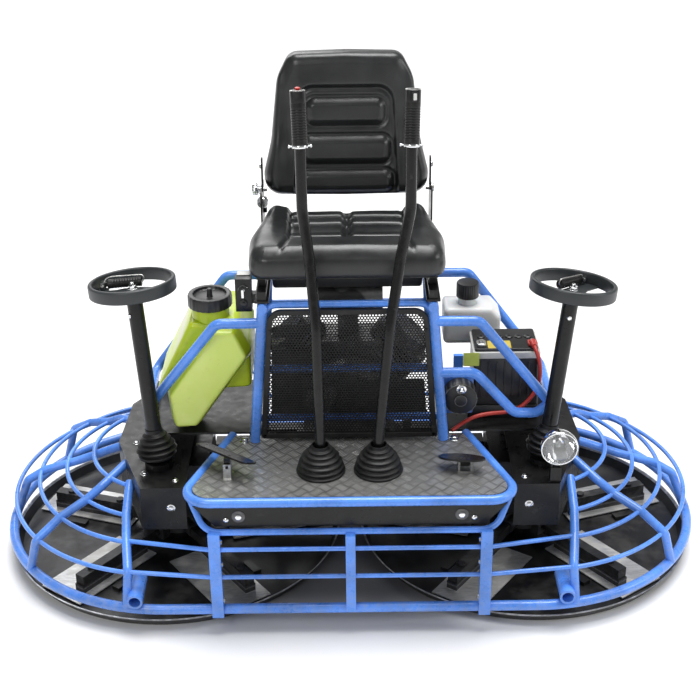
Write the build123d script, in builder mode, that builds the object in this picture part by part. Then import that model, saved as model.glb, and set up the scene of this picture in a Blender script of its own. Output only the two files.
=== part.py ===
"""Ride-on power trowel with two five-blade rotors, drawn at real size in millimetres.

X runs from the left rotor to the right rotor, the operator's feet point towards -Y, Z is up, and the
origin lies on the floor below the middle of the machine.
"""
from build123d import *
import math
import os

os.makedirs("parts", exist_ok=True)

# ---- driving dimensions ----
ROTOR_X = 505.0  # rotor axis to the middle of the machine
BLADES = 5  # blades on each rotor
BLADE_TURN = 360 / BLADES
FIRST_BLADE = -55.0  # direction of blade 1 on the left rotor, degrees
ARM_Z = 48.0  # height of the trowel arms
ARM_D = 28.0  # round end of a trowel arm
FIT = 0.05  # radial running clearance of shafts and pins
GAP = 0.3  # clearance between neighbours that don't touch
PAN_R = 475.0  # float pan, at the lip
PAN_LIP = 30.0
HUB_R = 60.0  # spider hub
SHAFT_R = 19.0  # rotor shaft
COLLAR_Z = 84.6  # underside of the pitch pressure plate

BOX_X = (395.0, 615.0)  # gearbox housing, inner and outer side
BOX_Y = 120.0
BOX_Z = (120.0, 290.0)
BOX_WALL = 10.0
CROSS_Y = 62.0  # cross shaft, beside the rotor shafts
CROSS_Z = 190.0
CROSS_R = 15.0
COVER_TOP = 330.0
COVER_SKIRT = 200.0
COVER_SHEET = 3.0
COVER_PLAN = [(440, -300), (560, -300), (650, -52), (640, 170), (560, 300), (440, 300)]

GUARD_X = 489.0  # centre of a guard's half rings
GUARD_TUBE = 27.0
GUARD_ROD = 12.0
SPOKE = 24.0
RIM_R = 486.0
RIM_Z = 73.0
POST_X = (333.0, 363.0)
POST_Y = (489.5, 506.0)
POST_Z = (58.0, 316.0)
RAIL_Y = 494.0
RAIL_Z = (179.0, 264.0)
SOCKET_X = 565.0
SOCKET_Z = 106.0
SOCKET_R = (15.0, 21.0)
SOCKET_Y = (392.0, 500.0)

DECK_TOP = 404.0
DECK_SHEET = 4.0
DECK_TUBE = 25.0
DECK_TUBE_Z = 396.0
DECK_LOOP = [(-319, -138), (-442, -480), (442, -480), (319, -138)]
DECK_CORNER = 60.0
LOW_TUBE = 17.0
LOW_TUBE_Z = 308.0

FRAME_TUBE = 27.0
FRONT_Y = -184.0  # plane of the front uprights and side tubes
REAR_Y = 200.0
UPRIGHT_X = (255.0, 222.0)  # foot and head of an upright
HEAD_Z = 802.0
BEAM_TOP = 230.0
BELT_X = (157.0, 177.0)  # the drive belt's two edges
CRANK_Z = 345.0  # engine crankshaft
CROSS_PULLEY_R = 28.0
CRANK_PULLEY_R = 34.0

SEAT_PIVOT = (205.0, 985.0)  # Y and Z of the backrest hinge
# foot and head of each column on its own side; the right one leans further out
COLUMN_FEET = {-1: (523.0, -180.0, 355.0), 1: (533.0, -180.0, 355.0)}
COLUMN_HEADS = {-1: (562.0, -125.0, 843.0), 1: (591.0, -125.0, 825.0)}
COLUMN_TUBE = 42.0
WHEEL_R = 115.0
WHEEL_BAND = 35.0
WHEEL_RIM = 12.0
FOLD_X = 82.0  # crank grip pivot, from the wheel's centre
FOLD_Y = 28.0
FOLD_Z = 1.5
RIGHT_WHEEL_TURN = 49.0  # how far the right wheel is turned from the left one's mirror image

STICK_X = 75.0
STICK_Y = -340.0
STICK_Z = 424.0
STICK_TUBE = 28.0
PIN_R = 6.0


# ---- helpers that add to the part being built ----
def flip(points, sign):
    """The points with their X on the given side."""
    return [(sign * p[0], *p[1:]) for p in points]


def between(a, b, share):
    """The point at a share of the way from a to b."""
    return tuple(u + share * (v - u) for u, v in zip(a, b))


def rod(start, end, diameter, mode=Mode.ADD):
    """A round bar between two points."""
    axis = Vector(*end) - Vector(*start)
    with BuildSketch(Plane(origin=start, z_dir=axis)) as section:
        Circle(diameter / 2)
    extrude(section.sketch, amount=axis.length, mode=mode)


def sleeve(start, end, outer, inner):
    """A round tube between two points, given by its two diameters."""
    axis = Vector(*end) - Vector(*start)
    with BuildSketch(Plane(origin=start, z_dir=axis)) as section:
        Circle(outer / 2)
        Circle(inner / 2, mode=Mode.SUBTRACT)
    extrude(section.sketch, amount=axis.length)


def block(x, y, z, mode=Mode.ADD):
    """A box given by its two limits on each axis."""
    limits = [sorted(pair) for pair in (x, y, z)]
    with Locations(tuple((a + b) / 2 for a, b in limits)):
        Box(*(b - a for a, b in limits), mode=mode)


def bent(points, radius, diameter):
    """A round tube along straight runs joined by arcs."""
    with BuildLine() as path:
        FilletPolyline(*points, radius=radius)
    with BuildSketch(Plane(origin=path.line @ 0, z_dir=path.line % 0)) as section:
        Circle(diameter / 2)
    sweep(sections=section.sketch, path=path.line)


def plate(outline, low, high, mode=Mode.ADD):
    """A flat plate from a plan outline and two heights."""
    with BuildSketch(Plane.XY.offset(low)) as section:
        with BuildLine():
            Polyline(*outline, close=True)
        make_face()
    extrude(section.sketch, amount=high - low, mode=mode)


def turned(profile, origin, axis, mode=Mode.ADD):
    """A body of revolution. The profile lists (radius, height along the axis)."""
    up = Vector(*axis).normalized()
    side = up.cross(Vector(0, 1, 0) if abs(up.Y) < 0.9 else Vector(1, 0, 0)).normalized()
    with BuildSketch(Plane(origin=origin, x_dir=side, z_dir=side.cross(up))) as section:
        with BuildLine():
            Polyline(*profile, close=True)
        make_face()
    revolve(section.sketch, axis=Axis(origin, up), revolution_arc=360, mode=mode)


def ring_arc(side, radius, height, diameter, half_angle):
    """A guard rod bent round the rotor, from -half_angle to +half_angle off the machine's long axis."""
    start = math.radians(half_angle)
    outward = (side * math.cos(start), -math.sin(start), 0)
    origin = (side * GUARD_X, 0, height)
    normal = Vector(*outward).cross(Vector(0, 0, 1)) * -1
    with BuildSketch(Plane(origin=origin, x_dir=outward, z_dir=normal)) as section:
        with Locations((radius, 0)):
            Circle(diameter / 2)
    revolve(section.sketch, axis=Axis(origin, (0, 0, side)), revolution_arc=2 * half_angle)


def finish(builder, name):
    """Label a finished sub-part and write it."""
    builder.part.label = name
    export_step(builder.part, f"parts/{name}.step")
    print(name, "solids", len(builder.part.solids()), "volume", round(builder.part.volume))


SIDES = (("left", -1), ("right", 1))
LAMP = (549, -281, 392)  # the work lamp's hinge


# ---- main frame ----
with BuildPart() as main_beam:
    for y in (-125, 125):
        block((-BOX_X[0] + 0.2, BOX_X[0] - 0.2), (y - 25, y + 25), (150, BEAM_TOP))
    for x in (-200, 200):
        block((x - 15, x + 15), (-140, 225), (155, 225))
    block((-300, 300), (185, 225), (150, BEAM_TOP))
    rod((-300, CROSS_Y, CROSS_Z), (300, CROSS_Y, CROSS_Z), 54, Mode.SUBTRACT)
    for side in (-1, 1):
        block((side * 246, side * 560), (-130, 180), (396, 402))
        block((side * 250, side * 262), (-130, 130), (BEAM_TOP - 10, 397))
finish(main_beam, "main_beam")

with BuildPart() as gearboxes:
    for side in (-1, 1):
        inner, outer = side * BOX_X[0], side * BOX_X[1]
        block((inner, outer), (-BOX_Y, BOX_Y), BOX_Z)
        inside_x = (inner + side * BOX_WALL, outer - side * BOX_WALL)
        inside_y = (BOX_WALL - BOX_Y, BOX_Y - BOX_WALL)
        inside_z = (BOX_Z[0] + BOX_WALL, BOX_Z[1] - BOX_WALL)
        block(inside_x, inside_y, inside_z, Mode.SUBTRACT)
        centre = side * ROTOR_X
        rod((centre, 0, 104), (centre, 0, BOX_Z[0] + 2), 70)
        rod((centre, 0, BOX_Z[1] - 30), (centre, 0, BOX_Z[1] - 5), 70)
        rod((centre, 0, 100), (centre, 0, 272), 2 * (SHAFT_R + FIT), Mode.SUBTRACT)
        bore = (inner - side, CROSS_Y, CROSS_Z), (outer - side * 4, CROSS_Y, CROSS_Z)
        rod(*bore, 2 * (CROSS_R + FIT), Mode.SUBTRACT)
finish(gearboxes, "gearboxes")

with BuildPart() as gearbox_covers:
    for side in (-1, 1):
        plate(flip(COVER_PLAN, side), COVER_SKIRT, COVER_TOP)
        with BuildSketch(Plane.XY.offset(COVER_SKIRT)) as inside:
            with BuildLine():
                Polyline(*flip(COVER_PLAN, side), close=True)
            make_face()
            offset(amount=-COVER_SHEET, kind=Kind.INTERSECTION)
        extrude(inside.sketch, amount=COVER_TOP - COVER_SHEET - COVER_SKIRT, mode=Mode.SUBTRACT)
        block((side * 430, side * 450), (-297, 297), (COVER_SKIRT, COVER_TOP - COVER_SHEET), Mode.SUBTRACT)
    block((534, 563), (-292, -270), (COVER_TOP - 1, 374))
    for x in (534, 558.5):
        block((x, x + 4.5), (-290, -272), (373, 401))
    rod((530, LAMP[1], LAMP[2]), (568, LAMP[1], LAMP[2]), 8 + 2 * FIT, Mode.SUBTRACT)
finish(gearbox_covers, "gearbox_covers")

# ---- guard ----
# bends of the spokes on the right-hand guard, from the cover out to the rim
FRONT_SPOKE = [(604, -192, 284), (603, -295, 245), (594, -378, 217), (583, -456, 172), (590, -478, 73)]
CORNER_SPOKE = [
    (615, -110, 305),
    (684, -193, 270),
    (724, -219, 245),
    (791, -264, 217),
    (852, -307, 172),
    (878, -297, 73),
]
SIDE_SPOKE = [(630, -17, 305), (776, -5, 245), (878, -12, 217), (928, -22, 190), (974, -22, 73)]
# radius, height and half angle of each round rod above the rim
RINGS = [(468.0, 172.0, 78.4), (398.0, 217.0, 74.5), (319.0, 245.0, 68.9), (240.0, 284.0, 59.1)]
SPOKE_BEND = 20.0


def guard_half(side):
    """One half ring of the guard with its rods, spokes and dolly sockets."""
    ring_arc(side, RIM_R, RIM_Z, GUARD_TUBE, 90)
    for way in (-1, 1):
        rod((side * GUARD_X, way * RIM_R, RIM_Z), (side * (POST_X[1] + 0.2), way * RIM_R, RIM_Z), GUARD_TUBE)
    for radius, height, half_angle in RINGS:
        ring_arc(side, radius, height, GUARD_ROD, half_angle)
    for way in (-1, 1):
        for (knee, post_z) in ((FRONT_SPOKE[3], RAIL_Z[0]), (FRONT_SPOKE[2], RAIL_Z[1])):
            start = (side * knee[0], -way * knee[1], knee[2])
            rod(start, (side * (POST_X[1] - 4), way * RAIL_Y, post_z), GUARD_ROD)
        for spoke in (FRONT_SPOKE, CORNER_SPOKE):
            bent([(side * x, -way * y, z) for x, y, z in spoke], SPOKE_BEND, SPOKE)
        socket = [(side * SOCKET_X, way * y, SOCKET_Z) for y in SOCKET_Y]
        rod(*socket, 2 * SOCKET_R[1])
    bent(flip(SIDE_SPOKE, side), SPOKE_BEND, SPOKE)
    block((side * 300, side * (POST_X[1] + 0.2)), (-520, 520), (0, 400), Mode.SUBTRACT)
    for way in (-1, 1):
        hole = [(side * SOCKET_X, way * y, SOCKET_Z) for y in (SOCKET_Y[0] - 12, SOCKET_Y[1] + 10)]
        rod(*hole, 2 * SOCKET_R[0], Mode.SUBTRACT)
    with BuildSketch(Plane.XY.offset(COVER_SKIRT - 10)) as cover:
        with BuildLine():
            Polyline(*flip(COVER_PLAN, side), close=True)
        make_face()
        offset(amount=0.3, kind=Kind.INTERSECTION)
    extrude(cover.sketch, amount=150, mode=Mode.SUBTRACT)


with BuildPart() as guard_left:
    guard_half(-1)
finish(guard_left, "guard_left")

with BuildPart() as guard_right:
    guard_half(1)
finish(guard_right, "guard_right")

with BuildPart() as guard_centre:
    for way in (-1, 1):
        for side in (-1, 1):
            block((side * POST_X[0], side * POST_X[1]), (way * POST_Y[0], way * POST_Y[1]), POST_Z)
        block((-12.5, 12.5), (way * POST_Y[0], way * POST_Y[1]), (RIM_Z, LOW_TUBE_Z))
        rod((-POST_X[1], way * RIM_R, RIM_Z), (POST_X[1], way * RIM_R, RIM_Z), GUARD_TUBE)
        for height in RAIL_Z:
            rod((-POST_X[0] - 5, way * RAIL_Y, height), (POST_X[0] + 5, way * RAIL_Y, height), GUARD_ROD)
finish(guard_centre, "guard_centre")

# ---- foot deck ----
LOW_LOOP = [(-411, -446, 394), (-372, -480, LOW_TUBE_Z), (372, -480, LOW_TUBE_Z), (411, -446, 394)]
LOW_CORNER = 55.0

with BuildPart() as deck_frame:
    bent([(x, y, DECK_TUBE_Z) for x, y in DECK_LOOP], DECK_CORNER, DECK_TUBE)
    bent(LOW_LOOP, LOW_CORNER, LOW_TUBE)
    for y, half in ((-186, 336), (-320, 384)):
        block((-half, half), (y - 15, y + 15), (384, DECK_TOP - DECK_SHEET - 0.2))
    for side in (-1, 1):
        block((side * 285, side * 305), (-200, -150.2), (150, 390))
        block((side * 285, side * 305), (-474, -165), (384, DECK_TOP - DECK_SHEET - 0.2))
finish(deck_frame, "deck_frame")

with BuildPart() as deck_plate:
    with BuildSketch(Plane.XY.offset(DECK_TOP - DECK_SHEET)):
        with BuildLine():
            FilletPolyline(*DECK_LOOP, radius=DECK_CORNER)
            Line(DECK_LOOP[-1], DECK_LOOP[0])
        make_face()
        offset(amount=-(DECK_TUBE / 2 + 0.6), kind=Kind.INTERSECTION)
    extrude(amount=DECK_SHEET)
finish(deck_plate, "deck_plate")

with BuildPart() as front_skirt:
    with BuildSketch(Plane.XZ.offset(469)):
        with BuildLine():
            Polyline((-345, 320), (345, 320), (400, 382), (-400, 382), close=True)
        make_face()
    extrude(amount=3)
finish(front_skirt, "front_skirt")

# ---- seat frame and the machine's upper works ----
UPPER_SIDE = [
    (226, FRONT_Y, 758),
    (343, FRONT_Y, 757),
    (552, -118, 472),
    (566, REAR_Y, 432),
    (345, REAR_Y, 729),
    (228, REAR_Y, 729),
]
LOWER_SIDE = [(243, FRONT_Y, 607), (335, FRONT_Y, 607), (447, -160, 470), (513, -135, 455), (546, -120, 478)]
HOOP_Y = FRONT_Y + 14
HOOP = [(-224, HOOP_Y, 760), (-205, HOOP_Y, 804), (205, HOOP_Y, 804), (224, HOOP_Y, 760)]
CROSS_TUBE = 20.0

with BuildPart() as seat_frame:
    for side in (-1, 1):
        head = side * UPRIGHT_X[1]
        rod((side * UPRIGHT_X[0], FRONT_Y, DECK_TOP + 1.5), (head, FRONT_Y, HEAD_Z), FRAME_TUBE)
        rod((side * UPRIGHT_X[0], REAR_Y, BEAM_TOP + 1.5), (head, REAR_Y, HEAD_Z), FRAME_TUBE)
        rod((head, FRONT_Y - 13, HEAD_Z), (head, REAR_Y + 13, HEAD_Z), FRAME_TUBE)
        bent(flip(UPPER_SIDE, side), 30, FRAME_TUBE)
    bent(LOWER_SIDE, (45, 45, 40), FRAME_TUBE)
    bent(HOOP, 28, CROSS_TUBE)
    for height in (615, 466):
        rod((-246, FRONT_Y + 18, height), (246, FRONT_Y + 18, height), CROSS_TUBE)
    rod((-236, REAR_Y, 640), (236, REAR_Y, 640), CROSS_TUBE)
    rod((-222, REAR_Y, HEAD_Z), (222, REAR_Y, HEAD_Z), CROSS_TUBE)
finish(seat_frame, "seat_frame")

with BuildPart() as mesh_guard:
    with BuildSketch(Plane.XZ.offset(-FRONT_Y - 6)) as panel:
        with BuildLine():
            Polyline((-238, 415), (238, 415), (208, 795), (-208, 795), close=True)
        make_face()
        fillet(panel.vertices().group_by(Axis.Z)[-1], radius=40)
    extrude(amount=12)
    with BuildSketch(Plane.XZ.offset(-FRONT_Y - 6)) as recess:
        add(panel.sketch)
        offset(amount=-14, kind=Kind.INTERSECTION)
    extrude(recess.sketch, amount=5, mode=Mode.SUBTRACT)
    with BuildSketch(Plane.XZ.offset(-FRONT_Y + 6)) as front_recess:
        add(recess.sketch.moved(Location((0, -12, 0))))
    extrude(front_recess.sketch, amount=-5, mode=Mode.SUBTRACT)
finish(mesh_guard, "mesh_guard")

with BuildPart() as engine:
    block((-150, 150), (-95, 95), (BEAM_TOP + 0.2, 300))
    block((-125, 125), (-110, 110), (290, 560))
    rod((0, -142, 500), (0, -95, 500), 230)
    rod((0, -146, 500), (0, -120, 500), 150)
    for side in (-1, 1):
        rod((side * 60, 0, 520), (side * 150, 0, 620), 120)
        for fin in range(7):
            share = 0.35 + 0.09 * fin
            middle = between((side * 60, 0, 520), (side * 160, 0, 631), share)
            tip = between((side * 60, 0, 520), (side * 160, 0, 631), share + 0.04)
            rod(middle, tip, 168)
        rod((side * 152, 0, 622), (side * 176, 0, 649), 130)
    block((-90, 90), (-60, 60), (555, 640))
    rod((-70, -125, 385), (-70, -95, 385), 76)
    rod((90, -118, 350), (90, -95, 350), 90)
    rod((302, -150, 506), (302, -105, 506), 90)
    rod((302, -158, 506), (302, -150, 506), 34)
    block((246, 340), (-105, -99), (440, 565))
    rod((120, CROSS_Y, CRANK_Z), (BELT_X[1] + 4, CROSS_Y, CRANK_Z), 30)
    rod((BELT_X[0], CROSS_Y, CRANK_Z), (BELT_X[1], CROSS_Y, CRANK_Z), 2 * CRANK_PULLEY_R)
    # air cleaner on its neck
    rod((-95, 20, 746), (95, 20, 746), 104)
    rod((-103, 20, 746), (-95, 20, 746), 76)
    block((-28, 28), (-20, 55), (635, 710))
finish(engine, "engine")

with BuildPart() as muffler:
    rod((-170, 268, 440), (170, 268, 440), 104)
    for side in (-1, 1):
        bent([(side * 110, 268, 440), (side * 110, 268, 560), (side * 110, 112, 560)], 45, 36)
    bent([(120, 268, 440), (200, 268, 440), (200, 330, 400)], 28, 34)
finish(muffler, "muffler")

# ---- tanks, battery and switches ----
TANK_BODY = [(-424, 718), (-300, 718), (-264, 658), (-264, 524), (-512, 509), (-522, 524)]
TANK_FACE = [(-352, 712), (-303, 711), (-272, 640), (-416, 434), (-472, 430), (-482, 526)]
NECK = (-370, -45)

with BuildPart() as water_tank:
    with BuildSketch(Plane.XZ.offset(100)):
        with BuildLine():
            Polyline(*TANK_BODY, close=True)
        make_face()
    extrude(amount=-225)
    fillet(water_tank.edges(), radius=9)
    with BuildSketch(Plane.XZ.offset(108)) as lobe:
        with BuildLine():
            Polyline(*TANK_FACE, close=True)
        make_face()
        offset(amount=13, kind=Kind.INTERSECTION)
    extrude(lobe.sketch, amount=-88)
    with BuildSketch(Plane.XZ.offset(150)) as face:
        with BuildLine():
            Polyline(*TANK_FACE, close=True)
        make_face()
    loft(sections=[lobe.sketch, face.sketch], ruled=True)
    rod((*NECK, 710), (*NECK, 765), 100)
    rod((*NECK, 731), (*NECK, 785), 84, Mode.SUBTRACT)
finish(water_tank, "water_tank")

# each cap's profile lists (radius, height)
WATER_CAP = [(0, 768), (53, 768), (53, 751), (60, 751), (60, 781), (56, 785), (46, 785), (42, 777), (0, 777)]
FUEL_CAP = [(0, 709), (26.4, 709), (26.4, 688), (32, 688), (32, 728), (29, 732), (0, 732)]

with BuildPart() as water_cap:
    turned(WATER_CAP, (*NECK, 0), (0, 0, 1))
    rod((*NECK, 775), (*NECK, 797), 14)
finish(water_cap, "water_cap")

FUEL_X, FUEL_Y = (269, 430), (80, 185)
FUEL_NECK = (338, 128)
with BuildPart() as fuel_tank:
    with BuildSketch(Plane.XZ.offset(-FUEL_Y[0])):
        with BuildLine():
            Polyline((269, 559), (430, 559), (430, 640), (405, 668), (269, 668), close=True)
        make_face()
    extrude(amount=-(FUEL_Y[1] - FUEL_Y[0]))
    fillet(fuel_tank.edges(), radius=12)
    rod((*FUEL_NECK, 664), (*FUEL_NECK, 706), 52)
finish(fuel_tank, "fuel_tank")

with BuildPart() as fuel_cap:
    turned(FUEL_CAP, (*FUEL_NECK, 0), (0, 0, 1))
finish(fuel_cap, "fuel_cap")

with BuildPart() as battery:
    block((344, 525), (-60, 72), (440, 584))
    block((340, 525), (-64, 76), (584, 612))
    for x in (365, 505):
        rod((x, -30, 610), (x, -30, 626), 16)
    block((330, 525), (-66, 78), (402.2, 440))
finish(battery, "battery")

CABLE = [
    (505, -39, 622),
    (508, -74, 620),
    (517, -93, 598),
    (522, -96, 562),
    (520, -94, 524),
    (505, -93, 484),
    (474, -96, 450),
    (432, -101, 438),
    (388, -108, 440),
    (344, -118, 436),
    (306, -134, 422),
    (280, -152, 412),
]


def cable_radii(points):
    """The largest arc that each corner of a cable's route leaves room for."""
    radii = []
    for before, corner, after in zip(points, points[1:], points[2:]):
        first, second = Vector(*corner) - Vector(*before), Vector(*after) - Vector(*corner)
        half_turn = math.radians(first.get_angle(second)) / 2
        radii.append(0.45 * min(first.length, second.length) / math.tan(half_turn))
    return radii


with BuildPart() as battery_cable:
    bent(CABLE, cable_radii(CABLE), 11)
finish(battery_cable, "battery_cable")

with BuildPart() as switch_box:
    block((-292, -250), (-150, -112), (776, 868))
    block((-252, -240.4), (-140, -115), (795, 821))
    rod((-271, -154, 838), (-271, -150, 838), 26)
    rod((-271, -160, 838), (-271, -100, 838), 8.1, Mode.SUBTRACT)
    rod((-271, -153, 800), (-271, -150, 800), 20)
finish(switch_box, "switch_box")

with BuildPart() as ignition_key:
    rod((-271, -154.6, 838), (-271, -125, 838), 8)
    block((-274, -268), (-178, -154.6), (827, 849))
finish(ignition_key, "ignition_key")

# ---- seat ----
with BuildPart() as seat_rails:
    for side in (-1, 1):
        block((side * 204, side * 240), (-190, 205), (HEAD_Z + FRAME_TUBE / 2 + 0.7, 822))
        block((side * 210, side * 234), (-185, 200), (822, 846))
finish(seat_rails, "seat_rails")

PAN_SHEET = (866.0, 874.0)
with BuildPart() as seat_pan:
    for side in (-1, 1):
        block((side * 212, side * 232), (-145, 115), (847, 867))
        block((side * 230.5, side * 235), (125, 236), (866, 1002))
    block((-235, 235), (-150, 180), PAN_SHEET)
    for side in (-1, 1):
        rod((side * 240, *SEAT_PIVOT), (side * 228, *SEAT_PIVOT), 2 * (PIN_R + FIT), Mode.SUBTRACT)
finish(seat_pan, "seat_pan")

with BuildPart() as seat_cushion:
    with BuildSketch(Plane.XY.offset(876)) as cushion_plan:
        with BuildLine():
            Polyline((-252, -182), (252, -182), (258, -40), (218, 168), (-218, 168), (-258, -40), close=True)
        make_face()
        fillet(cushion_plan.vertices(), radius=40)
    extrude(amount=90)
    fillet(seat_cushion.faces().sort_by(Axis.Z)[-1].edges(), radius=24)
finish(seat_cushion, "seat_cushion")

BACK_HALF = [(0, 0), (224, 0), (226, 60), (184, 322), (150, 388)]  # one half of the outline, up the face
BACK_OUTLINE = BACK_HALF[1:] + [(-x, z) for x, z in reversed(BACK_HALF[1:])]
with BuildPart() as backrest:
    with BuildSketch(Plane(origin=(0, 192, 968), x_dir=(1, 0, 0), z_dir=(0, -390, 50))) as back_face:
        with BuildLine():
            Polyline(*BACK_OUTLINE, close=True)
        make_face()
        fillet(back_face.vertices(), radius=28)
    extrude(amount=-82)
    fillet(backrest.faces().sort_by(Axis.Y)[0].edges(), radius=14)
    for side in (-1, 1):
        block((side * 180, side * 228.5), (193, 240), (972, 998))
        rod((side * 220, *SEAT_PIVOT), (side * 243, *SEAT_PIVOT), 2 * PIN_R)
    rod((235.6, *SEAT_PIVOT), (244, *SEAT_PIVOT), 24)
finish(backrest, "backrest")

with BuildPart() as recline_knob:
    sleeve((-236, *SEAT_PIVOT), (-243, *SEAT_PIVOT), 26, 2 * (PIN_R + FIT))
    rod((-243.2, *SEAT_PIVOT), (-262, *SEAT_PIVOT), 34)
finish(recline_knob, "recline_knob")

# ---- rotors ----
for name, side in SIDES:
    centre = side * ROTOR_X
    angles = [FIRST_BLADE - BLADE_TURN * n for n in range(BLADES)]
    directions = [(-side * math.cos(math.radians(a)), math.sin(math.radians(a))) for a in angles]

    with BuildPart() as spider:
        rod((centre, 0, 26), (centre, 0, 68), 2 * HUB_R)
        rod((centre, 0, 68), (centre, 0, 265), 2 * SHAFT_R)
        rod((centre, 0, 176), (centre, 0, 204), 80)
        for ux, uy in directions:
            rod((centre, 0, ARM_Z), (centre + 98 * ux, 98 * uy, ARM_Z), 44)
        for ux, uy in directions:
            bore = [(centre + reach * ux, reach * uy, ARM_Z) for reach in (40, 99)]
            rod(*bore, ARM_D + 2 * FIT, Mode.SUBTRACT)
    finish(spider, f"{name}_spider")

    with BuildPart() as pan:
        pan_profile = [(0, 0), (455, 0), (PAN_R, PAN_LIP), (PAN_R - 3.5, PAN_LIP), (453, 3), (0, 3)]
        turned(pan_profile, (centre, 0, 0), (0, 0, 1))
        rod((centre, 0, 2), (centre, 0, 25.7), 90)
        for ux, uy in directions:
            # each clip is a small angle that stands behind its blade's heel
            turn = math.degrees(math.atan2(uy, ux))
            with Locations(Location((centre, 0, 0), (0, 0, turn))):
                with Locations((300, -side * 66, 8)):
                    Box(60, 24, 12)
    finish(pan, f"{name}_pan")

    with BuildPart() as collar:
        sleeve((centre, 0, COLLAR_Z), (centre, 0, COLLAR_Z + 11), 150, 2 * (SHAFT_R + FIT))
    finish(collar, f"{name}_thrust_collar")

    for number, (ux, uy) in enumerate(directions, 1):
        turn = math.degrees(math.atan2(uy, ux))
        with BuildPart(Plane(origin=(centre, 0, 0), x_dir=(ux, uy, 0), z_dir=(0, 0, 1))) as blade:
            with Locations((289, side * 35, 8.3)):
                Box(300, 150, 3)
            with Locations((275, 0, 21)):
                Box(250, 32, 24.02)
            with Locations((248, 0, ARM_Z)):
                Box(296, 30, 30)
            with Locations((106, -side * 22, ARM_Z)):
                Box(12, 46, 12)
            with Locations((98, -side * 39, ARM_Z + 15)):
                Box(28, 12, 42)
            with Locations(Location((41, 0, ARM_Z), (0, 90, 0))):
                Cylinder(ARM_D / 2, 72, align=(Align.CENTER, Align.CENTER, Align.MIN))
            with Locations((190, 0, ARM_Z + 19), (350, 0, ARM_Z + 19)):
                Cylinder(11, 8)
        finish(blade, f"{name}_blade_{number}")

with BuildPart() as cross_shaft:
    rod((-BOX_X[1] + 6, CROSS_Y, CROSS_Z), (BOX_X[1] - 6, CROSS_Y, CROSS_Z), 2 * CROSS_R)
    for side in (-1, 1):
        rod((side * (ROTOR_X - 40), CROSS_Y, CROSS_Z), (side * (ROTOR_X + 40), CROSS_Y, CROSS_Z), 40)
    rod((BELT_X[0], CROSS_Y, CROSS_Z), (BELT_X[1], CROSS_Y, CROSS_Z), 2 * CROSS_PULLEY_R)
finish(cross_shaft, "cross_shaft")

# ---- pitch controls ----
columns = {}
for name, side in SIDES:
    foot = Vector(*flip([COLUMN_FEET[side]], side)[0])
    head = Vector(*flip([COLUMN_HEADS[side]], side)[0])
    columns[side] = (foot, head, (head - foot).normalized())


def along(side, distance):
    """A point on a column's axis, measured from the handwheel's centre."""
    head, way = columns[side][1:]
    return tuple(head + way * distance)


def up_column(side, distance):
    """A point on a column's axis, measured from its foot."""
    foot, _, way = columns[side]
    return tuple(foot + way * distance)


with BuildPart() as pitch_columns:
    for side in (-1, 1):
        rod(up_column(side, -20), along(side, -30), COLUMN_TUBE)
        base = up_column(side, -25)
        rod((base[0], base[1], COVER_TOP + 0.2), (base[0], base[1], COVER_TOP + 20), 76)
    for side in (-1, 1):
        rod(along(side, -120), along(side, -28), 16 + 2 * FIT, Mode.SUBTRACT)
finish(pitch_columns, "pitch_columns")

# outer (radius, height) of the folds, from the foot up, then the inner wall
BELLOWS_FOLDS = [(49, 0), (51, 8), (45, 13), (56, 21), (43, 28)]
BELLOWS_FOLDS += [(51, 35), (37, 42), (43, 49), (30, 56), (34, 63)]
BELLOWS = BELLOWS_FOLDS + [(25, 69), (25, 80), (21.6, 80), (21.6, 0)]
with BuildPart() as column_boots:
    for side in (-1, 1):
        turned(BELLOWS, up_column(side, 6), columns[side][2])
finish(column_boots, "column_boots")

for name, side in SIDES:
    way = columns[side][2]
    level = (Vector(-side, 0, 0) - way * Vector(-side, 0, 0).dot(way)).normalized()
    turn = RIGHT_WHEEL_TURN if side > 0 else 0.0
    level = level.rotate(Axis((0, 0, 0), way), turn)
    seat = Plane(origin=along(side, 0), x_dir=level, z_dir=way)
    # wheel frame: x from the grip's pivot towards its free end, z up the column
    low, high = -WHEEL_BAND / 2, WHEEL_BAND / 2
    grip_y = -side * FOLD_Y
    with BuildPart(seat) as wheel:
        with BuildSketch(seat.offset(low)) as band:
            Circle(WHEEL_R)
            Circle(WHEEL_R - WHEEL_RIM, mode=Mode.SUBTRACT)
        extrude(amount=WHEEL_BAND)
        with Locations((0, 0, low + 2.5)):
            Box(2 * WHEEL_R - 14, 34, 5)
        with Locations((-FOLD_X, grip_y, low + 2.5)):
            Box(26, 30, 5)
        with Locations((-FOLD_X, grip_y - 9, low + 15), (-FOLD_X, grip_y + 9, low + 15)):
            Box(12, 5.4, 22)
        with Locations((0, 0, low - 4)):
            Cylinder(23, 14)
        with Locations((0, 0, low + 10)):
            Cylinder(11, 12)
        with Locations((0, 0, low)):
            Cylinder(8, 80, align=(Align.CENTER, Align.CENTER, Align.MAX))
        with Locations(Location((-FOLD_X, grip_y, FOLD_Z), (90, 0, 0))):
            Cylinder(3 + FIT, 60, mode=Mode.SUBTRACT)
    finish(wheel, f"{name}_handwheel")

    with BuildPart(seat) as grip:
        with Locations(Location((-FOLD_X, grip_y, FOLD_Z), (90, 0, 0))):
            Cylinder(3, 25)
            Cylinder(6, 12)
        with Locations((-FOLD_X + 8, grip_y, FOLD_Z)):
            Box(16, 12, 11)
        with Locations(Location((-FOLD_X + 14, grip_y, FOLD_Z), (0, 90, 0))):
            Cylinder(12.5, 90, align=(Align.CENTER, Align.CENTER, Align.MIN))
    finish(grip, f"{name}_crank_grip")

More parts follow.
